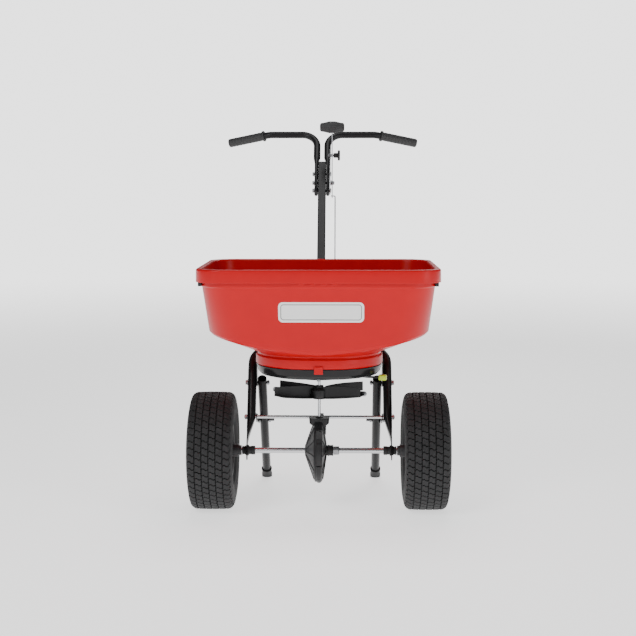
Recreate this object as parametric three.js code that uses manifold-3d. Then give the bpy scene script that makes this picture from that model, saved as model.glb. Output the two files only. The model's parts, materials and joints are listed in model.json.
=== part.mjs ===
// A walk-behind broadcast spreader: a hopper over a spinning impeller, driven by a bevel
// gearbox on the axle between two turf wheels. Millimetres, +Z up, -Y is the front.
import * as THREE from 'three';
import { mergeVertices } from 'three/addons/utils/BufferGeometryUtils.js';
import Module from 'manifold-3d';

const wasm = await Module();
wasm.setup();

// ---------------------------------------------------------------- driving dimensions
// Y is measured from the axle here; the finished model is moved by AXLE_Y as a whole, so
// that the origin lies under the middle of its bounding box, on the ground.
const AXLE_Y = -261.7;
const GAP = 0.3;
const WALL = 1.6;
const TUBE_RADIUS = 12.7;

const WHEEL_RADIUS = 165;
const WHEEL_X = 297;
const RIM_RADIUS = 77;
const HUB_RADIUS = 18;
const AXLE_Z = WHEEL_RADIUS;
const AXLE_RADIUS = 7.95;
const AXLE_HALF_LENGTH = 352;
const BORE_RADIUS = AXLE_RADIUS + 0.45;
const DRIVE_PIN_X = 334;
const DRIVE_PIN_RADIUS = 3;
const AXLE_CAP_X = 343;

const STRUT_X = 193;
const STRUT_PLATE_X = 203;
const STRUT_SLOPE = 80 / 180;
const STRUT_ROUND_Z = 250;
const HOOP_Y = 187;
const HOOP_Z = 435;
const TIE_ROD_Z = 253;
const TIE_ROD_RADIUS = 4.75;
const APEX_Y = 80;
const APEX_Z = 345;
const LEG_TOP_X = 164;
const FOOT_X = 169;
const FOOT_Y = 389;
const BOLT_RADIUS = 4;

const MAST_LEAN = THREE.MathUtils.degToRad(40);
const MAST_HALF_SIDE = 12.7;
const MAST_LENGTH = 700;
const BAR_RADIUS = 11.1;
const BAR_X = 17;
const BAR_LOW = 578;
const BAR_HIGH = 828;
const BAR_OUT_X = 174;
const BAR_END = { x: 305, y: 43, z: 831 };
const CLAMP_LOW = 590.7;
const CLAMP_HIGH = 659.3;
const PIVOT_UP = 622.5;
const LEVER_X = [31, 34];
const LEVER_REACH = 177;
const LEVER_TILT = THREE.MathUtils.degToRad(46);
const LINK_ARM = 85;
const LINK_TILT = THREE.MathUtils.degToRad(10);
const LINK_X = 42;
const LINK_RADIUS = 2;
const LINK_LENGTH = 585.4;
const STOP_REACH = 96;
const STOP_TILT = THREE.MathUtils.degToRad(17);

const RING_TEETH = 32;
const PINION_TEETH = 8;
const MODULE = 3;
const RING_RADIUS = RING_TEETH * MODULE / 2;
const PINION_RADIUS = PINION_TEETH * MODULE / 2;
const CONE_DISTANCE = Math.hypot(RING_RADIUS, PINION_RADIUS);
const GEAR_FACE = 9;
const SHAFT_RADIUS = 4;
const AGITATOR_Z = 265;
const HOUSING_RADIUS = 88;
const HOUSING_SPLIT_X = -2;

const HOPPER_FLOOR_Z = 415;
const HOPPER_RIM_Z = 689;
const END_RISE = 46;
const RISE_POWER = 1.55;
const TRAY_FLOOR_Z = 385;
const TRAY_HOLE_RADIUS = 75;
const TRAY_COLLAR_Z = 376;
const PORTS = [[-34, -38], [0, -42], [34, -38]];
const PORT_HALF_WIDTH = 11;
const PORT_HALF_LENGTH = 15;
const HOPPER_BOLT_Y = 118;
const HOPPER_BOLT_HOLE = 3.4;
const SHUTTER_Z = 411;
const SHUTTER_THICKNESS = 2.5;
const SHUTTER_TRAVEL = 44.6;
const SHUTTER_FRONT = -88;
const TAB_Y = 284.5;
const TAB_Z = 421;
const DIFFUSER_Z = 380.5;
const DIFFUSER_THICKNESS = 2.5;
const DIFFUSER_KNOB_X = 186;
const DIFFUSER_TURN = THREE.MathUtils.degToRad(-20);
const IMPELLER_RADIUS = 131;
const IMPELLER_ARMS = [-22, 33, 158, 213];
const IMPELLER_Z = 314;
const FIN_TOP_Z = 353;
const BLADE_Z = 332.5;
const BLADE_HALF_WIDTH = 7;
const BLADE_THICKNESS = 1.8;
const BLADE_START = 14;
const BLADE_END = 131;
const BLADE_TURN = THREE.MathUtils.degToRad(-17);

// ------------------------------------------------------------------------- materials
function finish(color, roughness, metalness) {
  return new THREE.MeshStandardMaterial({ color, roughness, metalness });
}

const RED_PLASTIC = finish(0xc8102e, 0.35, 0);
const BLACK_STEEL = finish(0x17181a, 0.35, 0.3);
const BLACK_PLASTIC = finish(0x222324, 0.55, 0);
const BRIGHT_STEEL = finish(0xb9bcc0, 0.3, 0.9);
const ZINC = finish(0x9a9da1, 0.4, 0.8);
const RUBBER = finish(0x1b1b1c, 0.8, 0);
const LIME_PLASTIC = finish(0xb5cc18, 0.4, 0);

// ---------------------------------------------------------------------- solid helpers
const point = (x, y, z) => new THREE.Vector3(x, y, z);
const range = (count) => Array.from({ length: count }, (_, i) => i);
const SIDES = [['left', -1], ['right', 1]];

function signedVolume(position, index) {
  const corner = (i) => new THREE.Vector3().fromBufferAttribute(position, index[i]);
  let sum = 0;
  for (let i = 0; i < index.length; i += 3) {
    sum += corner(i).dot(corner(i + 1).cross(corner(i + 2)));
  }
  return sum / 6;
}

// A closed three.js geometry as a solid: shared vertices merged, faces pointing out.
function solidOf(geometry) {
  const bare = new THREE.BufferGeometry();
  bare.setAttribute('position', geometry.getAttribute('position'));
  bare.setIndex(geometry.getIndex());
  const merged = mergeVertices(bare, 1e-4);
  const index = [];
  const source = merged.getIndex().array;
  for (let i = 0; i < source.length; i += 3) {
    const [a, b, c] = [source[i], source[i + 1], source[i + 2]];
    if (a !== b && b !== c && c !== a) {
      index.push(a, b, c);
    }
  }
  if (signedVolume(merged.getAttribute('position'), index) < 0) {
    index.reverse();
  }
  return new wasm.Manifold(new wasm.Mesh({
    numProp: 3,
    vertProperties: new Float32Array(merged.getAttribute('position').array),
    triVerts: new Uint32Array(index),
  }));
}

function geometryOf(solid) {
  const mesh = solid.getMesh();
  const geometry = new THREE.BufferGeometry();
  geometry.setAttribute('position', new THREE.BufferAttribute(mesh.vertProperties, 3));
  geometry.setIndex(new THREE.BufferAttribute(mesh.triVerts, 1));
  return geometry;
}

function box([x0, x1], [y0, y1], [z0, z1]) {
  const geometry = new THREE.BoxGeometry(x1 - x0, y1 - y0, z1 - z0);
  return solidOf(geometry.translate((x0 + x1) / 2, (y0 + y1) / 2, (z0 + z1) / 2));
}

// A round bar between two points; six sides make a hexagon head or nut.
function rodBetween(from, to, radius, sides = 10) {
  const direction = to.clone().sub(from);
  const geometry = new THREE.CylinderGeometry(radius, radius, direction.length(), sides);
  const turn = new THREE.Quaternion().setFromUnitVectors(point(0, 1, 0), direction.clone().normalize());
  const middle = from.clone().add(to).multiplyScalar(0.5);
  return solidOf(geometry.applyQuaternion(turn).translate(middle.x, middle.y, middle.z));
}

function rodX([x0, x1], radius, y = 0, z = 0, sides = 10) {
  return rodBetween(point(x0, y, z), point(x1, y, z), radius, sides);
}

function rodZ([z0, z1], radius, x = 0, y = 0, sides = 10) {
  return rodBetween(point(x, y, z0), point(x, y, z1), radius, sides);
}

// A closed [radius, along] outline turned about an axis.
function turned(outline, axis, segments = 18) {
  const closed = [...outline, outline[0]].map(([r, h]) => new THREE.Vector2(r, h));
  const geometry = new THREE.LatheGeometry(closed, segments);
  if (axis === 'x') {
    geometry.rotateZ(-Math.PI / 2);
  }
  if (axis === 'z') {
    geometry.rotateX(Math.PI / 2);
  }
  return solidOf(geometry);
}

// A flat plate: an outline in the YZ plane given thickness along X.
function plateX(shape, [x0, x1], curveSegments = 8) {
  const options = { depth: x1 - x0, bevelEnabled: false, curveSegments };
  const geometry = new THREE.ExtrudeGeometry(shape, options);
  const cycle = new THREE.Matrix4().set(0, 0, 1, x0, 1, 0, 0, 0, 0, 1, 0, 0, 0, 0, 0, 1);
  return solidOf(geometry.applyMatrix4(cycle));
}

function plateZ(shape, [z0, z1], curveSegments = 8) {
  const options = { depth: z1 - z0, bevelEnabled: false, curveSegments };
  return solidOf(new THREE.ExtrudeGeometry(shape, options).translate(0, 0, z0));
}

// A strip with round ends from one [u, v] point to another.
function capsule([u0, v0], [u1, v1], radius) {
  const angle = Math.atan2(v1 - v0, u1 - u0);
  const shape = new THREE.Shape();
  shape.absarc(u0, v0, radius, angle + Math.PI / 2, angle + Math.PI * 1.5);
  shape.absarc(u1, v1, radius, angle - Math.PI / 2, angle + Math.PI / 2);
  return shape;
}

function sector(inner, outer, start, end) {
  const shape = new THREE.Shape();
  shape.absarc(0, 0, outer, start, end);
  shape.absarc(0, 0, inner, end, start, true);
  return shape;
}

// Skins a row of rings that have the same number of points, closed by end caps, or by
// joining the last ring to the first.
function loft(rings, isLoop = false) {
  const count = rings[0].length;
  const points = rings.flat();
  const index = [];
  const spans = isLoop ? rings.length : rings.length - 1;
  for (const i of range(spans)) {
    const lower = i * count;
    const upper = ((i + 1) % rings.length) * count;
    for (const j of range(count)) {
      const next = (j + 1) % count;
      index.push(lower + j, lower + next, upper + next);
      index.push(lower + j, upper + next, upper + j);
    }
  }
  if (!isLoop) {
    const last = (rings.length - 1) * count;
    const centres = [rings[0], rings[rings.length - 1]].map(ringCentre);
    const first = points.length;
    points.push(...centres);
    for (const j of range(count)) {
      const next = (j + 1) % count;
      index.push(first, next, j);
      index.push(first + 1, last + j, last + next);
    }
  }
  const geometry = new THREE.BufferGeometry().setFromPoints(points);
  geometry.setIndex(index);
  return solidOf(geometry);
}

function ringCentre(ring) {
  const sum = ring.reduce((total, p) => total.add(p), point(0, 0, 0));
  return sum.multiplyScalar(1 / ring.length);
}

// An oval ring; power 1 is an ellipse, and smaller powers square it off.
function ovalRing(centre, across, along, power = 1, sides = 12) {
  const squared = (value) => Math.sign(value) * Math.abs(value) ** power;
  return range(sides).map((i) => {
    const angle = (i + 0.5) / sides * Math.PI * 2;
    return centre.clone()
      .addScaledVector(across, squared(Math.cos(angle)))
      .addScaledVector(along, squared(Math.sin(angle)));
  });
}

// A path whose steps fall on given stations, so that straight runs take one step.
class StationPath extends THREE.Curve {
  constructor(stations) {
    super();
    this.stations = stations;
  }

  stationAt(u) {
    return this.stations[Math.round(u * (this.stations.length - 1))];
  }

  getPoint(u) {
    return this.stationAt(u).place.clone();
  }

  getPointAt(u) {
    return this.getPoint(u);
  }

  getTangentAt(u) {
    return this.stationAt(u).tangent.clone();
  }
}

// The stations of a polyline whose corners are rounded to the given bend radii.
function bentStations(corners, bends, stepAngle) {
  const stations = [];
  const heading = (i) => corners[i + 1].clone().sub(corners[i]).normalize();
  stations.push({ place: corners[0], tangent: heading(0) });
  for (let i = 1; i < corners.length - 1; i += 1) {
    const before = heading(i - 1);
    const after = heading(i);
    const turn = before.angleTo(after);
    const axis = before.clone().cross(after).normalize();
    const bend = bends[i - 1];
    const start = corners[i].clone().addScaledVector(before, -bend * Math.tan(turn / 2));
    const inward = axis.clone().cross(before);
    const centre = start.clone().addScaledVector(inward, bend);
    const steps = Math.ceil(turn / stepAngle);
    for (const k of range(steps + 1)) {
      const angle = turn * k / steps;
      const spoke = start.clone().sub(centre).applyAxisAngle(axis, angle);
      const tangent = before.clone().applyAxisAngle(axis, angle);
      stations.push({ place: centre.clone().add(spoke), tangent });
    }
  }
  const last = corners.length - 1;
  stations.push({ place: corners[last], tangent: heading(last - 1) });
  return stations;
}

function bentRod(corners, bends, radius, sides = 10, stepAngle = Math.PI / 7) {
  const path = new StationPath(bentStations(corners, bends, stepAngle));
  const section = new THREE.Shape(range(sides).map((i) => {
    const angle = i / sides * Math.PI * 2;
    return new THREE.Vector2(radius * Math.cos(angle), radius * Math.sin(angle));
  }));
  const options = { steps: path.stations.length - 1, extrudePath: path, bevelEnabled: false };
  return solidOf(new THREE.ExtrudeGeometry(section, options));
}

function bolt(from, to, headLength, nutLength, radius = BOLT_RADIUS) {
  const along = to.clone().sub(from).normalize();
  const headEnd = from.clone().addScaledVector(along, headLength);
  const nutStart = to.clone().addScaledVector(along, -nutLength);
  return rodBetween(from, to, radius, 8)
    .add(rodBetween(from, headEnd, radius * 1.75, 6))
    .add(rodBetween(nutStart, to.clone().addScaledVector(along, -0.8), radius * 1.75, 6));
}

// ---------------------------------------------------------------------- scene helpers
const model = new THREE.Group();

function group(parent, x, y, z) {
  const child = new THREE.Group();
  child.position.set(x, y, z);
  parent.add(child);
  return child;
}

function part(parent, name, solid, material) {
  const mesh = new THREE.Mesh(geometryOf(solid), material);
  mesh.name = name;
  parent.add(mesh);
  return mesh;
}

// ------------------------------------------------------------------------------ frame
const strutY = (z) => (z - AXLE_Z) * STRUT_SLOPE;
const TIE_ROD_Y = strutY(TIE_ROD_Z);

// The strut's lower end, pressed from a round tube into the flat plate at the axle.
function flattenedEnd(side) {
  const direction = point(0, STRUT_SLOPE, 1).normalize();
  const widthwise = point(1, 0, 0).cross(direction);
  const stations = [
    [252, STRUT_X, TUBE_RADIUS, TUBE_RADIUS, 1],
    [228, STRUT_X + 4, 8.6, 15.5, 0.85],
    [204, STRUT_PLATE_X - 2, 3.6, 18.4, 0.6],
    [188, STRUT_PLATE_X, 1.6, 19, 0.45],
    [152, STRUT_PLATE_X, 1.6, 19, 0.45],
    [144, STRUT_PLATE_X, 1.6, 14, 0.45],
    [140.5, STRUT_PLATE_X, 1.6, 7, 0.45],
  ];
  return loft(stations.map(([z, x, thick, wide, power]) => ovalRing(
    point(side * x, strutY(z), z),
    point(thick, 0, 0),
    widthwise.clone().multiplyScalar(wide),
    power,
  )));
}

function makeHoop() {
  const rightSide = [
    point(STRUT_X, strutY(STRUT_ROUND_Z), STRUT_ROUND_Z),
    point(STRUT_X, strutY(385), 385),
    point(STRUT_X, HOOP_Y, HOOP_Z),
  ];
  const mirror = (p) => point(-p.x, p.y, p.z);
  const route = [...rightSide, ...rightSide.map(mirror).reverse()];
  const bends = [60, 75, 75, 60];
  const inner = [route[0].clone().add(point(0, 3 * STRUT_SLOPE, 3)), ...route.slice(1, -1)];
  inner.push(mirror(inner[0]));
  let hoop = bentRod(route, bends, TUBE_RADIUS);
  for (const [, side] of SIDES) {
    hoop = hoop.add(flattenedEnd(side));
  }
  hoop = hoop.subtract(bentRod(inner, bends, TUBE_RADIUS - WALL, 5));
  hoop = hoop.subtract(rodX([-230, 230], 10.9, 0, AXLE_Z, 16));
  hoop = hoop.subtract(rodX([-230, 230], TIE_ROD_RADIUS + 0.4, TIE_ROD_Y, TIE_ROD_Z, 12));
  return hoop.subtract(rodX([-230, 230], BOLT_RADIUS + 0.5, APEX_Y, APEX_Z, 8));
}

function makeTieRod() {
  const reach = STRUT_X + TUBE_RADIUS + GAP;
  let rod = rodX([-reach - 7, reach + 7], TIE_ROD_RADIUS, TIE_ROD_Y, TIE_ROD_Z, 12);
  for (const [, side] of SIDES) {
    const nut = [side * reach, side * (reach + 5)];
    rod = rod.add(rodX(nut, 8, TIE_ROD_Y, TIE_ROD_Z, 6));
  }
  return rod;
}

const legTop = (side) => point(side * LEG_TOP_X, APEX_Y, APEX_Z);
const footPoint = (side) => point(side * FOOT_X, FOOT_Y, 0);

function alongLeg(side, distance) {
  const direction = footPoint(side).sub(legTop(side)).normalize();
  return legTop(side).addScaledVector(direction, distance);
}

const LEG_LENGTH = footPoint(1).distanceTo(legTop(1));
const LEG_END = LEG_LENGTH - 18;
const BRACE_AT_LEG = 175;

function makeLeg(side) {
  const braceBolt = alongLeg(side, BRACE_AT_LEG);
  const hole = [side * (LEG_TOP_X - 30), side * (LEG_TOP_X + 30)];
  return rodBetween(alongLeg(side, -18), alongLeg(side, LEG_END), TUBE_RADIUS)
    .subtract(rodBetween(alongLeg(side, -20), alongLeg(side, LEG_END + 2), TUBE_RADIUS - WALL, 5))
    .subtract(rodX(hole, BOLT_RADIUS + 0.5, APEX_Y, APEX_Z, 8))
    .subtract(rodX(hole, BOLT_RADIUS + 0.2, braceBolt.y, braceBolt.z, 8));
}

function makeFootCap(side) {
  const ground = box([side * FOOT_X - 60, side * FOOT_X + 60], [FOOT_Y - 80, FOOT_Y + 80], [-80, 0]);
  return rodBetween(alongLeg(side, LEG_END - 26), alongLeg(side, LEG_LENGTH + 22), 16, 20)
    .subtract(rodBetween(alongLeg(side, LEG_END - 28), alongLeg(side, LEG_END + GAP), TUBE_RADIUS + GAP))
    .subtract(ground);
}

// The flat brace from the tie rod to the leg, lying along the outside of the leg.
function makeBrace(side) {
  const legBolt = alongLeg(side, BRACE_AT_LEG);
  const atStrut = [TIE_ROD_Y, TIE_ROD_Z];
  const atLeg = [legBolt.y, legBolt.z];
  const flare = Math.atan2(2.4, legBolt.y - TIE_ROD_Y);
  const strip = plateX(capsule(atStrut, atLeg, 10), [-1.25, 1.25], 4)
    .subtract(rodX([-5, 5], TIE_ROD_RADIUS + 0.5, ...atStrut, 10))
    .subtract(rodX([-5, 5], BOLT_RADIUS + 0.5, ...atLeg, 8));
  const geometry = geometryOf(strip).translate(0, -TIE_ROD_Y, 0).rotateZ(-side * flare);
  return solidOf(geometry.translate(side * (STRUT_X - TUBE_RADIUS - 1.9), TIE_ROD_Y, 0));
}

function makeBraceBolt(side) {
  const { y, z } = alongLeg(side, BRACE_AT_LEG);
  return bolt(point(side * 190, y, z), point(side * 136, y, z), 5.5, 0.9)
    .add(rodX([side * 152.2, side * 146], 7, y, z, 6));
}

function makeApexBolt(side) {
  return bolt(point(side * 212, APEX_Y, APEX_Z), point(side * 143, APEX_Y, APEX_Z), 6, 7);
}

function makeAxleBearing(side) {
  const plateHalf = 1.6 + GAP;
  const outline = [
    [BORE_RADIUS, 180],
    [12.5, 180],
    [12.5, STRUT_PLATE_X - plateHalf],
    [10.5, STRUT_PLATE_X - plateHalf],
    [10.5, STRUT_PLATE_X + plateHalf],
    [12.5, STRUT_PLATE_X + plateHalf],
    [12.5, 216.5],
    [BORE_RADIUS, 216.5],
  ];
  return turned(outline.map(([r, x]) => [r, side * x]), 'x', 16);
}

// --------------------------------------------------------------- mast and handlebars
// The mast group's own z runs up the post, and its y points to the rear and down.
function roundedSquare(halfSide, cornerRadius) {
  const reach = halfSide - cornerRadius;
  const shape = new THREE.Shape();
  for (const i of range(4)) {
    const angle = i * Math.PI / 2;
    const x = reach * Math.SQRT2 * Math.cos(angle);
    const y = reach * Math.SQRT2 * Math.sin(angle);
    shape.absarc(x, y, cornerRadius, angle - Math.PI / 4, angle + Math.PI / 4);
  }
  return shape;
}

function mastSection(extra, [low, high]) {
  return plateZ(roundedSquare(MAST_HALF_SIDE + extra, 3 + extra), [low, high], 1);
}

const MAST_BOLTS = [45, 85, CLAMP_LOW, PIVOT_UP, CLAMP_HIGH];

function makePost() {
  let post = mastSection(0, [20, MAST_LENGTH]);
  post = post.subtract(mastSection(-2, [18, MAST_LENGTH + 2]));
  for (const up of MAST_BOLTS) {
    post = post.subtract(rodX([-30, 30], BOLT_RADIUS + 0.4, 0, up, 8));
  }
  return post;
}

function makePostCap() {
  return mastSection(0, [MAST_LENGTH + GAP, MAST_LENGTH + 3])
    .add(mastSection(-2 - GAP, [MAST_LENGTH - 14, MAST_LENGTH + 1]));
}

// A channel welded round the hoop; the post is bolted between its two cheeks.
function makePostBracket() {
  const cheek = [17.2, 20.2];
  const web = box([-cheek[1], cheek[1]], [19, 22], [24, 98]);
  let bracket = web;
  for (const [, side] of SIDES) {
    const x = [Math.min(side * cheek[0], side * cheek[1]), Math.max(side * cheek[0], side * cheek[1])];
    bracket = bracket.add(plateX(capsule([0, 0], [3, 40], 18), x, 4));
    bracket = bracket.add(box(x, [-12, 22], [24, 98]));
  }
  bracket = bracket.subtract(rodX([-30, 30], TUBE_RADIUS + 0.6, 0, 0, 14));
  for (const up of [45, 85]) {
    bracket = bracket.subtract(rodX([-30, 30], BOLT_RADIUS + 0.4, 0, up, 8));
  }
  return bracket;
}

function makeHandlebar(side) {
  const sideways = (x) => side * x;
  const pressed = [
    [BAR_LOW, BAR_X, 7.4, 12.4],
    [704, BAR_X, 7.4, 12.4],
    [730, BAR_X, BAR_RADIUS, BAR_RADIUS],
  ];
  const foot = loft(pressed.map(([z, x, halfX, halfY]) => ovalRing(
    point(sideways(x), 0, z), point(halfX, 0, 0), point(0, halfY, 0))));
  const corners = [
    point(sideways(BAR_X), 0, 729),
    point(sideways(BAR_X), 0, BAR_HIGH),
    point(sideways(BAR_OUT_X), 0, BAR_HIGH),
    point(sideways(BAR_END.x), BAR_END.y, BAR_END.z),
  ];
  const hollow = [point(sideways(BAR_X), 0, 740), ...corners.slice(1, 3)];
  const outward = corners[3].clone().sub(corners[2]).normalize();
  hollow.push(corners[3].clone().addScaledVector(outward, 2));
  let bar = foot.add(bentRod(corners, [50, 60], BAR_RADIUS));
  bar = bar.subtract(bentRod(hollow, [50, 60], BAR_RADIUS - WALL, 6));
  bar = bar.subtract(mastSection(GAP, [BAR_LOW - 5, MAST_LENGTH + 5]));
  for (const up of [CLAMP_LOW, PIVOT_UP, CLAMP_HIGH]) {
    bar = bar.subtract(rodX([sideways(2), sideways(30)], BOLT_RADIUS + 0.4, 0, up, 8));
  }
  return bar;
}

// A moulded grip, turned about its own z, with a flange at its inner end.
function makeGrip() {
  const bore = BAR_RADIUS + GAP;
  return turned([
    [0, 121],
    [0, 126],
    [13, 126],
    [14.4, 122],
    [13.3, 70],
    [13.9, 8],
    [17.3, 6],
    [17.3, 1],
    [15.5, 0],
    [bore, 0],
    [bore, 121],
  ], 'z');
}

function placeGrip(parent, name, side) {
  const start = point(side * BAR_OUT_X, 0, BAR_HIGH);
  const end = point(side * BAR_END.x, BAR_END.y, BAR_END.z);
  const direction = end.clone().sub(start).normalize();
  const grip = part(parent, name, makeGrip(), RUBBER);
  grip.position.copy(end).addScaledVector(direction, -120.5);
  grip.quaternion.setFromUnitVectors(point(0, 0, 1), direction);
}

function makeClampBolt(up) {
  return rodX([-31, 29.7], BOLT_RADIUS, 0, up, 8)
    .add(rodX([27.5, 29.7], 8, 0, up, 8))
    .add(rodX([-30, -24.8], 7, 0, up, 6));
}

// ---------------------------------------------------------------------- rate control
// The control group sits at the lever's pivot, with the mast's own directions.
const onArc = (reach, tilt) => [-reach * Math.sin(tilt), reach * Math.cos(tilt)];
const arcAngle = (tilt) => Math.PI / 2 + tilt;

function makeGaugePlate() {
  const degrees = THREE.MathUtils.degToRad;
  const x = [24.7, 27.2];
  const lowBolt = CLAMP_LOW - PIVOT_UP;
  const highBolt = CLAMP_HIGH - PIVOT_UP;
  const slot = sector(STOP_REACH - 3.7, STOP_REACH + 3.7, arcAngle(degrees(13.5)), arcAngle(degrees(32.5)));
  return plateX(capsule([0, lowBolt], [0, highBolt], 13), x, 4)
    .add(plateX(capsule([-4, highBolt], onArc(STOP_REACH, degrees(24)), 10), x, 3))
    .add(plateX(sector(STOP_REACH - 12, STOP_REACH + 12, arcAngle(degrees(11)), arcAngle(degrees(37))), x, 3))
    .subtract(plateX(slot, [20, 30], 3))
    .subtract(rodX([20, 30], BOLT_RADIUS + 0.4, 0, lowBolt, 12))
    .subtract(rodX([20, 30], BOLT_RADIUS + 0.4, 0, highBolt, 12))
    .subtract(rodX([20, 30], BOLT_RADIUS + 0.4, 0, 0, 12));
}

function makePivotBolt() {
  return rodX([-31, 40], BOLT_RADIUS, 0, 0, 12)
    .add(rodX([27.5, 30.7], 8, 0, 0, 12))
    .add(rodX([34.3, 39], 7, 0, 0, 6))
    .add(rodX([-30, -24.8], 7, 0, 0, 6));
}

const LINK_TOP = [LINK_ARM * Math.cos(LINK_TILT), LINK_ARM * Math.sin(LINK_TILT)];

function makeLever() {
  const top = onArc(LEVER_REACH + 10, LEVER_TILT);
  return plateX(capsule([0, 0], top, 7), LEVER_X, 3)
    .add(plateX(capsule([0, 0], LINK_TOP, 7), LEVER_X, 3))
    .add(plateX(capsule([0, -0.1], [0, 0.1], 12), LEVER_X, 4))
    .subtract(rodX([28, 40], BOLT_RADIUS + GAP, 0, 0, 12))
    .subtract(rodX([28, 40], LINK_RADIUS + 0.5, ...LINK_TOP, 12));
}

// The T-shaped hand grip, turned about X and pocketed for the lever's end.
function makeLeverGrip() {
  const [y, z] = onArc(LEVER_REACH, LEVER_TILT);
  const middle = (LEVER_X[0] + LEVER_X[1]) / 2;
  const outline = [[-39, 10], [-37, 13.5], [-22, 15], [-9, 18], [9, 18], [22, 15], [37, 13.5], [39, 10]];
  const body = turned([[0, middle - 39], ...outline.map(([x, r]) => [r, middle + x]), [0, middle + 39]], 'x');
  const placed = solidOf(geometryOf(body).translate(0, y, z));
  const pocket = capsule([0, 0], onArc(LEVER_REACH + 10, LEVER_TILT), 7 + GAP);
  return placed.subtract(plateX(pocket, [LEVER_X[0] - GAP, LEVER_X[1] + GAP], 3));
}

// The link rod has both of its ends bent over: one through the lever, one through the
// shutter's tab.
function makeLinkRod() {
  const [y, top] = LINK_TOP;
  const low = top - LINK_LENGTH;
  const corners = [point(28, y, top), point(LINK_X, y, top), point(LINK_X, y, low), point(32, y, low)];
  return bentRod(corners, [5, 5], LINK_RADIUS, 8, Math.PI / 5);
}

function makeStopBolt() {
  const [y, z] = onArc(STOP_REACH, STOP_TILT);
  return rodX([20.5, 52], 3.2, y, z, 12)
    .add(rodX([20.5, 24.4], 7, y, z, 6))
    .add(rodX([27.5, 36], 5.4, y, z, 12));
}

function makeStopKnob() {
  const star = new THREE.Shape(range(30).map((i) => {
    const angle = i / 30 * Math.PI * 2;
    const radius = 15 + 2 * Math.cos(angle * 6);
    return new THREE.Vector2(radius * Math.cos(angle), radius * Math.sin(angle));
  }));
  return plateX(star, [50, 58])
    .add(rodX([37, 51], 8, 0, 0, 16))
    .subtract(rodX([36, 53], 3.6, 0, 0, 12));
}

// --------------------------------------------------------------- hopper and metering
// One corner-rounded ring of the hopper. rise lifts the ring's left and right sides.
function hopperRing({ a, front, rear = front, corner, z, rise = 0 }) {
  const steps = 4;
  const ring = [];
  const corners = [[1, 1, 0], [-1, 1, 90], [-1, -1, 180], [1, -1, 270]];
  for (const [sx, sy, start] of corners) {
    const depth = sy > 0 ? rear : front;
    const cx = sx * (a - corner);
    const cy = sy * (depth - corner);
    for (const k of range(steps + 1)) {
      const angle = THREE.MathUtils.degToRad(start + 90 * k / steps);
      const x = cx + corner * Math.cos(angle);
      const y = cy + corner * Math.sin(angle);
      ring.push(point(x, y, z + rise * Math.abs(x / a) ** RISE_POWER));
    }
  }
  return ring;
}

const roundRing = (r, z) => hopperRing({ a: r, front: r, corner: r, z });
const drumRing = (a, z) => hopperRing({ a, front: a - 26, corner: a - 27, z });

function hopperRings() {
  const floor = HOPPER_FLOOR_Z;
  const rim = HOPPER_RIM_Z;
  const outside = [
    roundRing(7, floor),
    drumRing(176, floor),
    drumRing(176, floor + 26),
    drumRing(171, floor + 29),
    drumRing(171, floor + 34),
    hopperRing({ a: 294, front: 188, rear: 176, corner: 118, z: 463, rise: END_RISE }),
    hopperRing({ a: 298, front: 191, rear: 179, corner: 116, z: 469, rise: END_RISE }),
    hopperRing({ a: 309, front: 232, corner: 84, z: rim - 49 }),
    hopperRing({ a: 312, front: 235, corner: 80, z: rim - 46 }),
    hopperRing({ a: 312, front: 235, corner: 80, z: rim - 6 }),
    hopperRing({ a: 319, front: 241, corner: 68, z: rim - 6 }),
    hopperRing({ a: 319, front: 241, corner: 68, z: rim - 35 }),
    hopperRing({ a: 323, front: 245, corner: 70, z: rim - 35 }),
    hopperRing({ a: 323, front: 245, corner: 70, z: rim - 3 }),
    hopperRing({ a: 320, front: 242, corner: 68, z: rim }),
  ];
  const inside = [
    hopperRing({ a: 309, front: 231, corner: 76, z: rim }),
    hopperRing({ a: 307, front: 229, corner: 76, z: rim - 4 }),
    hopperRing({ a: 304, front: 227, corner: 79, z: rim - 50 }),
    hopperRing({ a: 293, front: 186, rear: 174, corner: 112, z: 471, rise: END_RISE }),
    drumRing(166, floor + 37),
    drumRing(163, floor + 4),
    roundRing(7, floor + 4),
  ];
  return [...outside, ...inside];
}

function makeHopper() {
  let hopper = loft(hopperRings(), true);
  hopper = hopper.add(box([-12, 12], [-155, -148.5], [403, 425]));
  for (const [x, y] of PORTS) {
    hopper = hopper.subtract(box(
      [x - PORT_HALF_WIDTH, x + PORT_HALF_WIDTH],
      [y - PORT_HALF_LENGTH, y + PORT_HALF_LENGTH],
      [HOPPER_FLOOR_Z - 15, HOPPER_FLOOR_Z + 10],
    ));
  }
  for (const y of [-HOPPER_BOLT_Y, HOPPER_BOLT_Y]) {
    const through = [HOPPER_FLOOR_Z - 15, HOPPER_FLOOR_Z + 10];
    hopper = hopper.subtract(rodZ(through, HOPPER_BOLT_HOLE, 0, y, 12));
  }
  return hopper;
}

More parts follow.
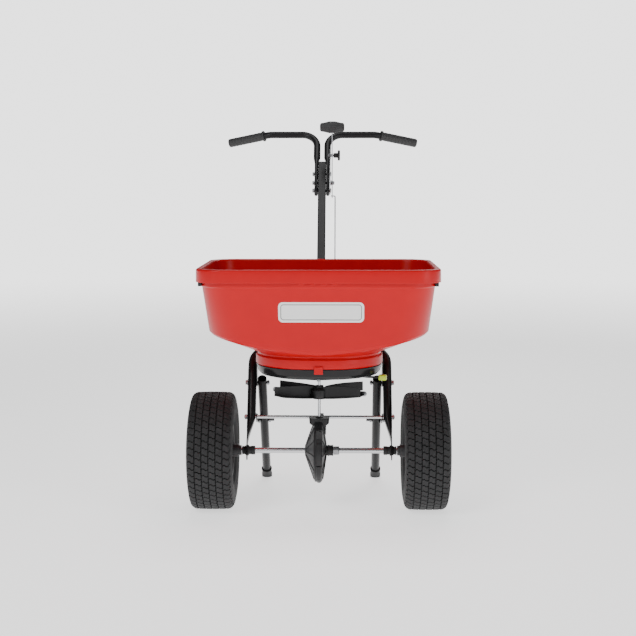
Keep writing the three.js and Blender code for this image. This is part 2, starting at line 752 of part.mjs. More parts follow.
// The tray under the hopper carries the shutter's rails, the diffuser's collar and the
// two ears that hang between the struts and the legs.
function makeTray() {
  const floor = TRAY_FLOOR_Z;
  const top = HOPPER_FLOOR_Z - GAP;
  const rings = [
    roundRing(TRAY_HOLE_RADIUS, TRAY_COLLAR_Z),
    roundRing(TRAY_HOLE_RADIUS + 3, TRAY_COLLAR_Z),
    roundRing(TRAY_HOLE_RADIUS + 3, floor),
    drumRing(156, floor),
    drumRing(170, floor + 10),
    drumRing(174, top),
    drumRing(171, top),
    drumRing(167, floor + 11),
    drumRing(155, floor + 3),
    roundRing(TRAY_HOLE_RADIUS, floor + 3),
  ];
  let tray = loft(rings, true);
  for (const angle of [90, 210, 330].map(THREE.MathUtils.degToRad)) {
    const out = [TRAY_HOLE_RADIUS + 1, TRAY_HOLE_RADIUS + 7.5];
    const tab = box(out, [-9, 9], [TRAY_COLLAR_Z, TRAY_COLLAR_Z + 3]);
    tray = tray.add(solidOf(geometryOf(tab).rotateZ(angle)));
  }
  for (const [, side] of SIDES) {
    tray = tray.add(trayRail(side)).add(trayEar(side));
  }
  for (const y of [-HOPPER_BOLT_Y, HOPPER_BOLT_Y]) {
    tray = tray.add(rodZ([floor + 1, SHUTTER_Z - GAP], 8, 0, y, 16));
    tray = tray.subtract(rodZ([floor - 5, top + 5], HOPPER_BOLT_HOLE, 0, y, 12));
  }
  const tongueSlot = box([LINK_X - 14, LINK_X + 14], [100, 160], [SHUTTER_Z - 1, top + 5]);
  return tray.subtract(tongueSlot);
}

function trayRail(side) {
  const x = [side * 83 - 3, side * 83 + 3];
  return box(x, [-92, 100], [TRAY_FLOOR_Z + 1, SHUTTER_Z - GAP]);
}

function trayEar(side) {
  const sorted = (a, b) => [Math.min(side * a, side * b), Math.max(side * a, side * b)];
  const cheek = sorted(LEG_TOP_X + TUBE_RADIUS + GAP, STRUT_X - TUBE_RADIUS - GAP);
  const shelf = sorted(138, 178);
  return box(shelf, [58, 102], [HOPPER_FLOOR_Z - 4, HOPPER_FLOOR_Z - GAP])
    .add(box(cheek, [58, 102], [368, HOPPER_FLOOR_Z - GAP]))
    .add(plateX(capsule([APEX_Y, APEX_Z], [APEX_Y, 375], 15), cheek, 6))
    .subtract(rodX([side * 150, side * 200], BOLT_RADIUS + 0.5, APEX_Y, APEX_Z, 8));
}

function makeHopperBolt(y) {
  return bolt(point(0, y, TRAY_FLOOR_Z - 5.3), point(0, y, HOPPER_FLOOR_Z + 10), 5, 4.9, 3);
}

// The shutter slides forward to bring its windows under the hopper's ports. A slot clears
// the front hopper bolt, and the tongue ends in a tab that the link rod hooks into.
function makeShutter() {
  const z = [SHUTTER_Z, SHUTTER_Z + SHUTTER_THICKNESS];
  let shutter = box([-82, 82], [SHUTTER_FRONT, 96], z);
  shutter = shutter.add(box([LINK_X - 12.5, LINK_X + 12.5], [90, TAB_Y + 9], z));
  shutter = shutter.add(box([LINK_X - 6.5, LINK_X - 4], [TAB_Y - 9, TAB_Y + 9], [SHUTTER_Z, TAB_Z + 10]));
  shutter = shutter.subtract(rodX([LINK_X - 10, LINK_X], 4, TAB_Y, TAB_Z, 12));
  const boltSlot = [SHUTTER_FRONT - 1, SHUTTER_TRAVEL - HOPPER_BOLT_Y + 5];
  shutter = shutter.subtract(box([-5, 5], boltSlot, [SHUTTER_Z - 5, SHUTTER_Z + 5]));
  for (const [x, y] of PORTS) {
    const low = y - PORT_HALF_LENGTH + SHUTTER_TRAVEL;
    const high = x === 0 ? low + 66 : low + PORT_HALF_LENGTH * 2;
    const width = [x - PORT_HALF_WIDTH, x + PORT_HALF_WIDTH];
    shutter = shutter.subtract(box(width, [low, high], [SHUTTER_Z - 5, SHUTTER_Z + 5]));
  }
  return shutter;
}

function makeDiffuser() {
  const z = [DIFFUSER_Z, DIFFUSER_Z + DIFFUSER_THICKNESS];
  const inner = TRAY_HOLE_RADIUS + 4.5;
  return turned([[inner, z[0]], [99, z[0]], [99, z[1]], [inner, z[1]]], 'z', 24)
    .add(box([94, 174], [-12, 12], z))
    .add(box([170, DIFFUSER_KNOB_X + 2], [-5, 5], z));
}

function makeDiffuserKnob() {
  const levels = [[375, 9, 7.5], [377, 11, 9], [388, 11, 9], [390, 9.5, 8]];
  const plate = [DIFFUSER_Z - GAP, DIFFUSER_Z + DIFFUSER_THICKNESS + GAP];
  return loft(levels.map(([z, halfX, halfY]) => ovalRing(
    point(DIFFUSER_KNOB_X, 0, z), point(halfX, 0, 0), point(0, halfY, 0), 0.6)))
    .subtract(box([DIFFUSER_KNOB_X - 26, DIFFUSER_KNOB_X + 2 + GAP], [-5 - GAP, 5 + GAP], plate));
}

// --------------------------------------------------------------- impeller and gearbox
// Bevel teeth run towards the apex where the two shafts cross. A ring of tooth corners
// lies at one distance from the apex; place() turns cone angle and azimuth into a point.
function toothRing(gear, distance) {
  const corners = [];
  for (const i of range(gear.teeth)) {
    const middle = (i + gear.phase) / gear.teeth * Math.PI * 2;
    corners.push([middle - gear.rootHalf, gear.rootCone]);
    corners.push([middle - gear.tipHalf, gear.tipCone]);
    corners.push([middle + gear.tipHalf, gear.tipCone]);
    corners.push([middle + gear.rootHalf, gear.rootCone]);
  }
  return corners.map(([azimuth, cone]) => gear.place(
    distance * Math.cos(cone), distance * Math.sin(cone), azimuth));
}

const ADDENDUM_ANGLE = Math.atan(MODULE * 0.9 / CONE_DISTANCE);
const DEDENDUM_ANGLE = Math.atan(MODULE * 1.25 / CONE_DISTANCE);
const RING_CONE = Math.atan2(RING_RADIUS, PINION_RADIUS);
const PINION_CONE = Math.PI / 2 - RING_CONE;

const RING_GEAR = {
  teeth: RING_TEETH,
  phase: 0,
  tipCone: RING_CONE + ADDENDUM_ANGLE,
  rootCone: RING_CONE - DEDENDUM_ANGLE,
  tipHalf: 0.6 / RING_RADIUS,
  rootHalf: 2.3 / RING_RADIUS,
  place: (along, out, azimuth) => point(-along, out * Math.sin(azimuth), out * Math.cos(azimuth)),
};

const PINION_GEAR = {
  teeth: PINION_TEETH,
  phase: 0.5,
  tipCone: PINION_CONE + ADDENDUM_ANGLE,
  rootCone: PINION_CONE - DEDENDUM_ANGLE,
  tipHalf: 0.6 / PINION_RADIUS,
  rootHalf: 2.0 / PINION_RADIUS,
  place: (along, out, azimuth) => point(-out * Math.cos(azimuth), out * Math.sin(azimuth), along),
};

function makeRingGear() {
  const nearEnd = CONE_DISTANCE - GEAR_FACE;
  const backRing = (radius) => toothRing(RING_GEAR, 1).map((p) => {
    const azimuth = Math.atan2(p.y, p.z);
    return point(-20, radius * Math.sin(azimuth), radius * Math.cos(azimuth));
  });
  const rings = [backRing(44), toothRing(RING_GEAR, CONE_DISTANCE), toothRing(RING_GEAR, nearEnd)];
  return loft(rings, true)
    .add(turned([[BORE_RADIUS, -29], [16, -29], [16, -19], [45, -19], [44, -16], [16, -15], [16, -9],
      [BORE_RADIUS, -9]], 'x', 16));
}

function makePinion() {
  const smallEnd = toothRing(PINION_GEAR, CONE_DISTANCE - GEAR_FACE - 1);
  const largeEnd = toothRing(PINION_GEAR, CONE_DISTANCE + 0.5);
  return loft([smallEnd, largeEnd])
    .add(rodZ([46, 58], 8.4, 0, 0, 16))
    .subtract(rodZ([30, 70], SHAFT_RADIUS + 0.35, 0, 0, 16));
}

// Outer shape of the whole gearbox about the crossing of its shafts.
function housingBody() {
  const shell = turned([
    [BORE_RADIUS, -40],
    [16, -40],
    [19, -37],
    [HOUSING_RADIUS - 6, -14.5],
    [HOUSING_RADIUS, -11],
    [HOUSING_RADIUS, 6.5],
    [HOUSING_RADIUS - 5, 9.5],
    [24, 17.5],
    [14.7, 18.5],
    [14.7, 39],
    [BORE_RADIUS, 39],
  ], 'x', 24);
  const neck = loft([
    ovalRing(point(0, 0, 46), point(19, 0, 0), point(0, 19, 0), 0.8),
    ovalRing(point(0, 0, 72), point(20, 0, 0), point(0, 20, 0), 0.7),
    ovalRing(point(0, 0, 78), point(27, 0, 0), point(0, 21, 0), 0.5),
    ovalRing(point(0, 0, 94), point(28.5, 0, 0), point(0, 22, 0), 0.5),
  ]);
  const lug = plateX(capsule([10, 80], [TIE_ROD_Y, TIE_ROD_Z - AXLE_Z], 11), [0, 12], 6);
  const panel = box([-8.5, 7.5], [-HOUSING_RADIUS - 4, 0], [-8, 62]);
  return shell.add(neck).add(lug).add(panel);
}

const HOUSING_SCREWS = [[-60, -44], [60, -44]];

function housingCavity() {
  let cavity = turned([
    [0, -32],
    [18, -32],
    [52, -22],
    [57, -18],
    [57, 2],
    [20, 6],
    [0, 6],
  ], 'x', 14);
  cavity = cavity.add(rodZ([20, 61], 17, 0, 0, 16));
  cavity = cavity.add(rodZ([60, 100], 8.4, 0, 0, 12));
  cavity = cavity.add(rodX([-50, 50], BORE_RADIUS, 0, 0, 16));
  cavity = cavity.add(rodX([-50, 50], TIE_ROD_RADIUS + 0.4, TIE_ROD_Y, TIE_ROD_Z - AXLE_Z, 12));
  for (const [y, z] of HOUSING_SCREWS) {
    cavity = cavity.add(rodX([-50, 50], 2.6, y, z, 8));
    cavity = cavity.add(rodX([-40, -12.5], 7, y, z, 8));
    cavity = cavity.add(rodX([8, 40], 7, y, z, 8));
  }
  return cavity;
}

function makeHousing(side) {
  const split = HOUSING_SPLIT_X + side * GAP / 2;
  const half = side < 0 ? [-80, split] : [split, 80];
  return housingBody().subtract(housingCavity()).intersect(box(half, [-120, 120], [-120, 120]));
}

function makeHousingScrew(y, z) {
  return bolt(point(-17, y, z), point(12, y, z), 4.2, 3.4, 2);
}

function makeShaftBushing() {
  const bore = SHAFT_RADIUS + 0.2;
  return turned([[bore, 62], [8.1, 62], [8.1, 94.3], [11, 94.3], [11, 97], [bore, 97]], 'z', 12);
}

function makeImpellerShaft() {
  return rodZ([31, 282], SHAFT_RADIUS, 0, 0, 12)
    .subtract(rodX([-10, 10], 2.2, 0, AGITATOR_Z, 8));
}

// Four dished arms with a fin on each, and two steel blades let into the hub.
function makeImpeller() {
  const across = (width) => point(0, width / 2, 0);
  const up = (height) => point(0, 0, height / 2);
  const barRing = (r, y, width, low, high) => {
    const centre = point(r, y, (low + high) / 2);
    return [[-1, -1], [1, -1], [1, 1], [-1, 1]].map(([s, t]) => centre.clone()
      .addScaledVector(across(width), s)
      .addScaledVector(up(high - low), t));
  };
  const arm = loft([
    barRing(8, 0, 26, IMPELLER_Z, IMPELLER_Z + 3),
    barRing(70, 0, 38, IMPELLER_Z + 5, IMPELLER_Z + 8),
    barRing(IMPELLER_RADIUS, 0, 50, IMPELLER_Z + 14, IMPELLER_Z + 17),
  ]).add(loft([
    barRing(15, -8, 3, IMPELLER_Z + 1, FIN_TOP_Z),
    barRing(IMPELLER_RADIUS, -23, 3, IMPELLER_Z + 14, FIN_TOP_Z),
  ]));
  let impeller = turned([
    [0, IMPELLER_Z - 1],
    [22, IMPELLER_Z - 1],
    [24, IMPELLER_Z + 4],
    [24, 340],
    [12, 344],
    [12, 350],
    [0, 350],
  ], 'z', 16);
  for (const angle of IMPELLER_ARMS.map(THREE.MathUtils.degToRad)) {
    impeller = impeller.add(solidOf(geometryOf(arm).rotateZ(angle)));
  }
  for (const [, side] of SIDES) {
    impeller = impeller.subtract(placedBlade(side, GAP));
  }
  return impeller.subtract(rodZ([300, 360], SHAFT_RADIUS + 0.35, 0, 0, 16));
}

// A blade standing on edge along Y, turned to its arm; extra widens it into a pocket.
function placedBlade(side, extra) {
  const halfWidth = BLADE_HALF_WIDTH + extra;
  const half = BLADE_THICKNESS / 2 + extra;
  const shape = new THREE.Shape();
  shape.moveTo(BLADE_Z - halfWidth, BLADE_START - extra);
  shape.lineTo(BLADE_Z + halfWidth, BLADE_START - extra);
  shape.lineTo(BLADE_Z + halfWidth, BLADE_END);
  shape.absarc(BLADE_Z, BLADE_END, halfWidth, 0, Math.PI);
  const options = { depth: half * 2, bevelEnabled: false, curveSegments: 6 };
  const geometry = new THREE.ExtrudeGeometry(shape, options);
  const upright = new THREE.Matrix4().set(0, side, 0, 0, 0, 0, side, -side * half, 1, 0, 0, 0, 0, 0, 0, 1);
  return solidOf(geometry.applyMatrix4(upright).rotateZ(BLADE_TURN));
}

// -------------------------------------------------------------------- axle and wheels
function makeAxle() {
  const reach = AXLE_HALF_LENGTH;
  const chamfer = AXLE_RADIUS - 1.2;
  return turned([[0, -reach], [chamfer, -reach], [AXLE_RADIUS, -reach + 1.5], [AXLE_RADIUS, reach - 1.5],
    [chamfer, reach], [0, reach]], 'x', 20)
    .subtract(rodBetween(point(DRIVE_PIN_X, 0, -20), point(DRIVE_PIN_X, 0, 20), DRIVE_PIN_RADIUS + GAP, 10));
}

function makeDrivePin() {
  return rodBetween(point(DRIVE_PIN_X, 0, -23), point(DRIVE_PIN_X, 0, 23), DRIVE_PIN_RADIUS, 10)
    .add(rodBetween(point(DRIVE_PIN_X, 0, 18.6), point(DRIVE_PIN_X, 0, 22), 6, 10));
}

function makeAxleCollar() {
  return turned([[BORE_RADIUS, 39.4], [12.5, 39.4], [12.5, 54], [11, 56], [BORE_RADIUS, 56]], 'x', 14);
}

function makeAxleCap(side) {
  const start = AXLE_CAP_X;
  const outline = [[0, start + 10], [0, start + 13], [9, start + 12], [13, start + 9], [13, start],
    [AXLE_RADIUS + 0.4, start], [AXLE_RADIUS + 0.4, start + 10]];
  return turned(outline.map(([r, x]) => [r, side * x]), 'x', 16);
}

// The tyre's section from its crown round the outside to the bead and back inside.
function makeTyre() {
  const bead = RIM_RADIUS + 0.5;
  const half = [
    [165, 0], [164, 42], [157, 58], [138, 66.5], [112, 66.5], [90, 49],
    [bead, 48], [bead, 40], [118, 58], [150, 48], [154, 0],
  ];
  const mirrored = half.slice(1, -1).reverse().map(([r, x]) => [r, -x]);
  return turned([...half, ...mirrored], 'x', 28);
}

// The rim: a flanged barrel, a dished web and a long hub, with the web towards the outside.
function makeRim(side) {
  const mirrorX = (outline) => outline.map(([r, x]) => [r, side * x]);
  const inner = RIM_RADIUS - 3.5;
  const barrel = [
    [inner, -51.5], [85, -51.5], [85, -49], [RIM_RADIUS, -49],
    [RIM_RADIUS, 49], [85, 49], [85, 51.5], [inner, 51.5],
  ];
  const web = [[HUB_RADIUS - 1, 0], [60, 10], [inner + 1, 2], [inner + 1, 7], [60, 14], [HUB_RADIUS - 1, 5]];
  const hub = [[BORE_RADIUS, -79], [HUB_RADIUS, -79], [HUB_RADIUS, 45], [BORE_RADIUS, 45]];
  const rim = turned(barrel, 'x', 28)
    .add(turned(mirrorX(web), 'x', 28))
    .add(turned(mirrorX(hub), 'x', 12));
  if (side < 0) {
    return rim;
  }
  const pinX = DRIVE_PIN_X - WHEEL_X;
  return rim.subtract(rodBetween(point(pinX, 0, -30), point(pinX, 0, 30), DRIVE_PIN_RADIUS + GAP, 10));
}

// --------------------------------------------------------------------------- assembly
model.position.y = AXLE_Y;

part(model, 'frame_hoop', makeHoop(), BLACK_STEEL);
part(model, 'tie_rod', makeTieRod(), BRIGHT_STEEL);
for (const [name, side] of SIDES) {
  part(model, `leg_${name}`, makeLeg(side), BLACK_STEEL);
  part(model, `foot_cap_${name}`, makeFootCap(side), RUBBER);
  part(model, `brace_${name}`, makeBrace(side), BLACK_STEEL);
  part(model, `brace_bolt_${name}`, makeBraceBolt(side), ZINC);
  part(model, `apex_bolt_${name}`, makeApexBolt(side), ZINC);
}

const mast = group(model, 0, HOOP_Y, HOOP_Z);
mast.rotation.x = -MAST_LEAN;
part(mast, 'post', makePost(), BLACK_STEEL);
part(mast, 'post_cap', makePostCap(), BLACK_PLASTIC);
part(mast, 'post_bracket', makePostBracket(), BLACK_STEEL);
for (const [i, name] of ['lower', 'upper'].entries()) {
  const up = MAST_BOLTS[i];
  part(mast, `post_bolt_${name}`, bolt(point(28, 0, up), point(-29, 0, up), 5, 7), ZINC);
}
for (const [name, side] of SIDES) {
  part(mast, `handlebar_${name}`, makeHandlebar(side), BLACK_STEEL);
  placeGrip(mast, `grip_${name}`, side);
}
part(mast, 'clamp_bolt_lower', makeClampBolt(CLAMP_LOW), ZINC);
part(mast, 'clamp_bolt_upper', makeClampBolt(CLAMP_HIGH), ZINC);

const control = group(mast, 0, 0, PIVOT_UP);
part(control, 'gauge_plate', makeGaugePlate(), ZINC);
part(control, 'lever_pivot_bolt', makePivotBolt(), ZINC);
part(control, 'control_lever', makeLever(), ZINC);
part(control, 'lever_grip', makeLeverGrip(), RUBBER);
part(control, 'link_rod', makeLinkRod(), BRIGHT_STEEL);
part(control, 'stop_bolt', makeStopBolt(), ZINC);
const stopKnob = part(control, 'stop_knob', makeStopKnob(), BLACK_PLASTIC);
stopKnob.position.set(0, ...onArc(STOP_REACH, STOP_TILT));

part(model, 'hopper', makeHopper(), RED_PLASTIC);
part(model, 'tray', makeTray(), BLACK_PLASTIC);
part(model, 'hopper_bolt_front', makeHopperBolt(-HOPPER_BOLT_Y), ZINC);
part(model, 'hopper_bolt_rear', makeHopperBolt(HOPPER_BOLT_Y), ZINC);
part(model, 'shutter_plate', makeShutter(), ZINC);
const diffuser = group(model, 0, 0, 0);
diffuser.rotation.z = DIFFUSER_TURN;
part(diffuser, 'diffuser_plate', makeDiffuser(), BLACK_PLASTIC);
part(diffuser, 'diffuser_knob', makeDiffuserKnob(), LIME_PLASTIC);

part(model, 'impeller', makeImpeller(), BLACK_PLASTIC);
for (const [name, side] of SIDES) {
  part(model, `impeller_blade_${name}`, placedBlade(side, 0), ZINC);
}

const drive = group(model, 0, 0, AXLE_Z);
part(drive, 'impeller_shaft', makeImpellerShaft(), BRIGHT_STEEL);
part(drive, 'agitator_pin', rodX([-26, 26], 2, 0, AGITATOR_Z, 8), BRIGHT_STEEL);
part(drive, 'pinion', makePinion(), ZINC);
part(drive, 'ring_gear', makeRingGear(), ZINC);
part(drive, 'shaft_bushing', makeShaftBushing(), BLACK_PLASTIC);
for (const [name, side] of SIDES) {
  part(drive, `gearbox_${name}`, makeHousing(side), BLACK_PLASTIC);
}
for (const [i, name] of ['front', 'rear'].entries()) {
  part(drive, `gearbox_screw_${name}`, makeHousingScrew(...HOUSING_SCREWS[i]), ZINC);
}
part(drive, 'axle', makeAxle(), BRIGHT_STEEL);
part(drive, 'axle_collar', makeAxleCollar(), ZINC);
part(drive, 'drive_pin', makeDrivePin(), ZINC);
for (const [name, side] of SIDES) {
  part(drive, `axle_cap_${name}`, makeAxleCap(side), BLACK_PLASTIC);
  const wheel = group(drive, side * WHEEL_X, 0, 0);
  part(wheel, `tyre_${name}`, makeTyre(), RUBBER);
  part(wheel, `rim_${name}`, makeRim(side), BLACK_PLASTIC);
}
for (const [name, side] of SIDES) {
  const bearing = part(model, `axle_bearing_${name}`, makeAxleBearing(side), BLACK_PLASTIC);
  bearing.position.z = AXLE_Z;
}

export default model;
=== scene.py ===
"""A walk-behind broadcast spreader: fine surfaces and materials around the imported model."""
import json
import math

import bmesh
import bpy
from mathutils import Matrix, Vector


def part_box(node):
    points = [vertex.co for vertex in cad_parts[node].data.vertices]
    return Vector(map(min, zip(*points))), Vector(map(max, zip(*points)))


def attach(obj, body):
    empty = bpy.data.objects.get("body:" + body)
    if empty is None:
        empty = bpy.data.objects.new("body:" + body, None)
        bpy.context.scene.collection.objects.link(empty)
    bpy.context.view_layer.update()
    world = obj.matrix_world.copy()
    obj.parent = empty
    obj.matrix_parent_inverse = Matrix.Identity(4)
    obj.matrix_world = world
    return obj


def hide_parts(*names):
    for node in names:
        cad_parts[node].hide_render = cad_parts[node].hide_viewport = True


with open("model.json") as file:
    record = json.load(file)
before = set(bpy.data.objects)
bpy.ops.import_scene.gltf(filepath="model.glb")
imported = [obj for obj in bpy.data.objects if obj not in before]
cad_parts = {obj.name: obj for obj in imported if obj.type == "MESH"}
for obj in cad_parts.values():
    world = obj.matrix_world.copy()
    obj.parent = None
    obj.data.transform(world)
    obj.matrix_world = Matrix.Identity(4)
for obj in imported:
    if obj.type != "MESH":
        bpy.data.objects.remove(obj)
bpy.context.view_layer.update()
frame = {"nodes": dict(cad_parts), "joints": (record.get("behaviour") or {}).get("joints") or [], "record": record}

MM = 0.001
NODES = frame["nodes"]
JOINTS = {joint["name"]: joint for joint in frame["joints"]}
AXLE = Vector(JOINTS["drive_axle_spin"]["pos_m"])
SIDES = (("left", -1), ("right", 1))

# Driving sizes, in millimetres. Y is measured from the axle, as in the solid model.
AXLE_Z = 165
TUBE = 12.7
STRUT_X = 193
STRUT_PLATE_X = 203
STRUT_SLOPE = 80 / 180
PRESS_TOP = 252
TIE_Z = 253
APEX = (80, 345)
LEG_TOP_X = 164
LEG_CUT = 18
FOOT = (169, 389)
HOOP = (187, 435)
MAST_LEAN = math.radians(-40)
POST_HALF = 12.7
POST_TOP = 700
BAR_X = 17
BAR_RADIUS = 11.1
BAR_Z = 828
BAR_REACH = 174
BAR_END = (305, 43, 831)
CLAMPS = (590.7, 659.3)
PIVOT_UP = 622.5
FLOOR_Z = 415
CREASE_Z = 468
RIM_Z = 689
BAND_Z = RIM_Z - 49
TRAY_Z = 385
DIFFUSER = (380.5, 383)
HOPPER_BOLT_Y = 118
IMPELLER_Z = 314
IMPELLER_RADIUS = 131
IMPELLER_ARMS = (-22, 33, 158, 213)
END_RISE = 47
RISE_POWER = 1.55
PORTS = ((-34, -38), (0, -42), (34, -38))
RIGHT = Vector((1, 0, 0))
UP = Vector((0, 0, 1))


def at(x, y, z):
    """A point in millimetres, with y measured from the axle, as metres in the frame."""
    return Vector((x * MM, AXLE.y + y * MM, z * MM))


MAST = Matrix.Translation(at(0, *HOOP)) @ Matrix.Rotation(MAST_LEAN, 4, "X")
MAST_TURN = MAST.to_3x3()


def on_mast(x, y, z):
    """A point in millimetres up the leaning post."""
    return MAST @ (Vector((x, y, z)) * MM)


def on_control(x, y, z):
    """A point in millimetres from the rate lever's pivot, along the post."""
    return on_mast(x, y, z + PIVOT_UP)


# ------------------------------------------------------------------------- materials
def surface(name, color, roughness, metallic=0.0, grain=700, bump=0.04, mottle=0.06,
            spread=0.05, stretch=(1, 1, 1), specular=0.5, relief=0.0002):
    """Colour drifts over a few centimetres; a fine grain moves the roughness and the normal."""
    material = bpy.data.materials.new(name)
    material.use_nodes = True
    tree = material.node_tree
    shader = tree.nodes["Principled BSDF"]
    shader.inputs["Metallic"].default_value = metallic
    shader.inputs["Specular IOR Level"].default_value = specular
    place = tree.nodes.new("ShaderNodeTexCoord")
    mapping = tree.nodes.new("ShaderNodeMapping")
    mapping.inputs["Scale"].default_value = stretch
    tree.links.new(place.outputs["Object"], mapping.inputs["Vector"])

    def noise(scale, detail):
        node = tree.nodes.new("ShaderNodeTexNoise")
        node.inputs["Scale"].default_value = scale
        node.inputs["Detail"].default_value = detail
        tree.links.new(mapping.outputs["Vector"], node.inputs["Vector"])
        return node

    broad = noise(grain / 40, 4)
    fine = noise(grain, 3)
    ramp = tree.nodes.new("ShaderNodeValToRGB")
    ramp.color_ramp.elements[0].position = 0.3
    ramp.color_ramp.elements[1].position = 0.7
    for element, factor in zip(ramp.color_ramp.elements, (1 - mottle, 1 + mottle)):
        element.color = [min(1, c * factor) for c in color] + [1]
    tree.links.new(broad.outputs["Fac"], ramp.inputs["Fac"])
    tree.links.new(ramp.outputs["Color"], shader.inputs["Base Color"])
    blend = tree.nodes.new("ShaderNodeMath")
    blend.operation = "ADD"
    tree.links.new(broad.outputs["Fac"], blend.inputs[0])
    tree.links.new(fine.outputs["Fac"], blend.inputs[1])
    rough = tree.nodes.new("ShaderNodeMapRange")
    rough.inputs["From Min"].default_value = 0.6
    rough.inputs["From Max"].default_value = 1.4
    rough.inputs["To Min"].default_value = roughness - spread
    rough.inputs["To Max"].default_value = roughness + spread
    tree.links.new(blend.outputs["Value"], rough.inputs["Value"])
    tree.links.new(rough.outputs["Result"], shader.inputs["Roughness"])
    normal = tree.nodes.new("ShaderNodeBump")
    normal.inputs["Strength"].default_value = bump
    normal.inputs["Distance"].default_value = relief
    tree.links.new(fine.outputs["Fac"], normal.inputs["Height"])
    tree.links.new(normal.outputs["Normal"], shader.inputs["Normal"])
    return material


def slot_color(name):
    for row in frame["record"]["materials"]:
        if row["slot"] == name:
            return row["base_color"]
    raise KeyError(name)


# Deeper than the record's colours, because the renderer's tone curve turns a bright red pink.
RED = (0.50, 0.0, 0.004)
ZINC = [c * 0.6 for c in slot_color("zinc_plate")]
MATERIALS = {
    "frame_paint": surface("powder_coat", slot_color("frame_paint"), 0.28, grain=1300, bump=0.08,
                           specular=0.18),
    "bright_steel": surface("drawn_bar", slot_color("bright_steel"), 0.24, 1.0, 900, 0.10, 0.06,
                            stretch=(0.03, 1, 1)),
    "zinc_plate": surface("zinc_plate", ZINC, 0.34, 1.0, 1500, 0.12, 0.14, 0.10),
    "gear_metal": surface("cast_gear", slot_color("gear_metal"), 0.5, 1.0, 1100, 0.35, 0.15, 0.10),
    "red_plastic": surface("red_moulding", RED, 0.34, grain=900, bump=0.05, mottle=0.03, specular=0.22),
    "tray_plastic": surface("tray_moulding", slot_color("tray_plastic"), 0.16, grain=800, bump=0.03,
                            specular=0.22),
    "black_plastic": surface("black_moulding", slot_color("black_plastic"), 0.42, grain=1700, bump=0.22,
                             mottle=0.12, specular=0.25),
    "rim_plastic": surface("rim_moulding", slot_color("rim_plastic"), 0.45, grain=1500, bump=0.20,
                           mottle=0.10),
    "grip_rubber": surface("grip_rubber", slot_color("grip_rubber"), 0.58, grain=2100, bump=0.35,
                           mottle=0.12),
    "tyre_rubber": surface("tyre_rubber", slot_color("tyre_rubber"), 0.66, grain=1400, bump=0.45,
                           mottle=0.28, spread=0.10, specular=0.3, relief=0.0004),
    "lime_plastic": surface("lime_moulding", slot_color("lime_plastic"), 0.32, grain=1200, bump=0.06),
}
LABEL = surface("label_film", (0.86, 0.86, 0.85), 0.30, grain=500, bump=0.02, mottle=0.015)
MARKING = surface("printed_mark", (0.02, 0.02, 0.02), 0.5, grain=900, bump=0.03)


# --------------------------------------------------------------------- shape helpers
# A shape is a pair: a list of points in metres, and a list of faces.
def merge(*shapes):
    points = []
    faces = []
    for shape_points, shape_faces in shapes:
        start = len(points)
        points.extend(shape_points)
        faces.extend([tuple(i + start for i in face) for face in shape_faces])
    return points, faces


def moved(shape, matrix):
    return [matrix @ p for p in shape[0]], shape[1]


def mirrored(shape):
    return [Vector((-p.x, p.y, p.z)) for p in shape[0]], [tuple(reversed(f)) for f in shape[1]]


def loft(rings, loop=False, caps=True):
    count = len(rings[0])
    points = [Vector(p) for ring in rings for p in ring]
    faces = []
    spans = len(rings) if loop else len(rings) - 1
    for i in range(spans):
        low = i * count
        high = ((i + 1) % len(rings)) * count
        for j in range(count):
            k = (j + 1) % count
            faces.append((low + j, low + k, high + k, high + j))
    if caps and not loop:
        last = (len(rings) - 1) * count
        faces.append(tuple(reversed(range(count))))
        faces.append(tuple(range(last, last + count)))
    return points, faces


def soften(outline, cut, steps=3, closed=True):
    """Rounds the corners of an outline of number tuples; cut is how far a corner is taken back."""
    result = []
    count = len(outline)
    for i, corner in enumerate(outline):
        if not closed and i in (0, count - 1):
            result.append(tuple(corner))
            continue
        before = outline[i - 1]
        after = outline[(i + 1) % count]
        ends = []
        for other in (before, after):
            length = math.dist(corner, other)
            share = min(cut, 0.45 * length) / max(length, 1e-9)
            ends.append([c + (o - c) * share for c, o in zip(corner, other)])
        for k in range(steps + 1):
            t = k / steps
            result.append(tuple(
                a * (1 - t) ** 2 + c * 2 * t * (1 - t) + b * t * t
                for a, c, b in zip(ends[0], corner, ends[1])))
    return result


def along(start, direction):
    """The matrix that puts z along a direction, from a start."""
    turn = Vector(direction).to_track_quat("Z", "Y").to_matrix().to_4x4()
    return Matrix.Translation(start) @ turn


UPRIGHT = along(at(0, 0, 0), UP)


def about_shaft(degrees):
    """The matrix that turns a placed shape about the impeller's shaft."""
    turn = Matrix.Rotation(math.radians(degrees), 4, "Z")
    return Matrix.Translation(at(0, 0, 0)) @ turn @ Matrix.Translation(-at(0, 0, 0))


def spun(matrix, radius, angle, height):
    """A point in millimetres at a radius and an angle about a matrix's z."""
    return matrix @ (Vector((radius * math.cos(angle), radius * math.sin(angle), height)) * MM)


def rounded(half_x, half_y, corner, steps=6):
    """A rectangle with round corners about the origin, as (x, y) pairs."""
    points = []
    for i in range(4):
        middle_x = (half_x - corner) * (1 if i in (0, 3) else -1)
        middle_y = (half_y - corner) * (1 if i in (0, 1) else -1)
        for k in range(steps + 1):
            angle = (i + k / steps) * math.pi / 2
            points.append((middle_x + corner * math.cos(angle), middle_y + corner * math.sin(angle)))
    return points


def lathe(outline, matrix, segments=64, cut=0.6, lobe=None):
    """Turns a closed (radius, along) outline in millimetres about z. lobe scales the radius."""
    rings = []
    for radius, height in soften(outline, cut) if cut else outline:
        ring = []
        for j in range(segments):
            angle = j / segments * math.tau
            scale = lobe(angle, height) if lobe else 1
            ring.append(spun(matrix, radius * scale, angle, height))
        rings.append(ring)
    return loft(rings, loop=True)


def lathe_x(outline, x, y, z, side=1, segments=64, cut=0.6, lobe=None):
    """An outline of (radius, x) turned about an axis along X; side mirrors it."""
    return lathe(outline, along(at(x, y, z), (side, 0, 0)), segments, cut, lobe)


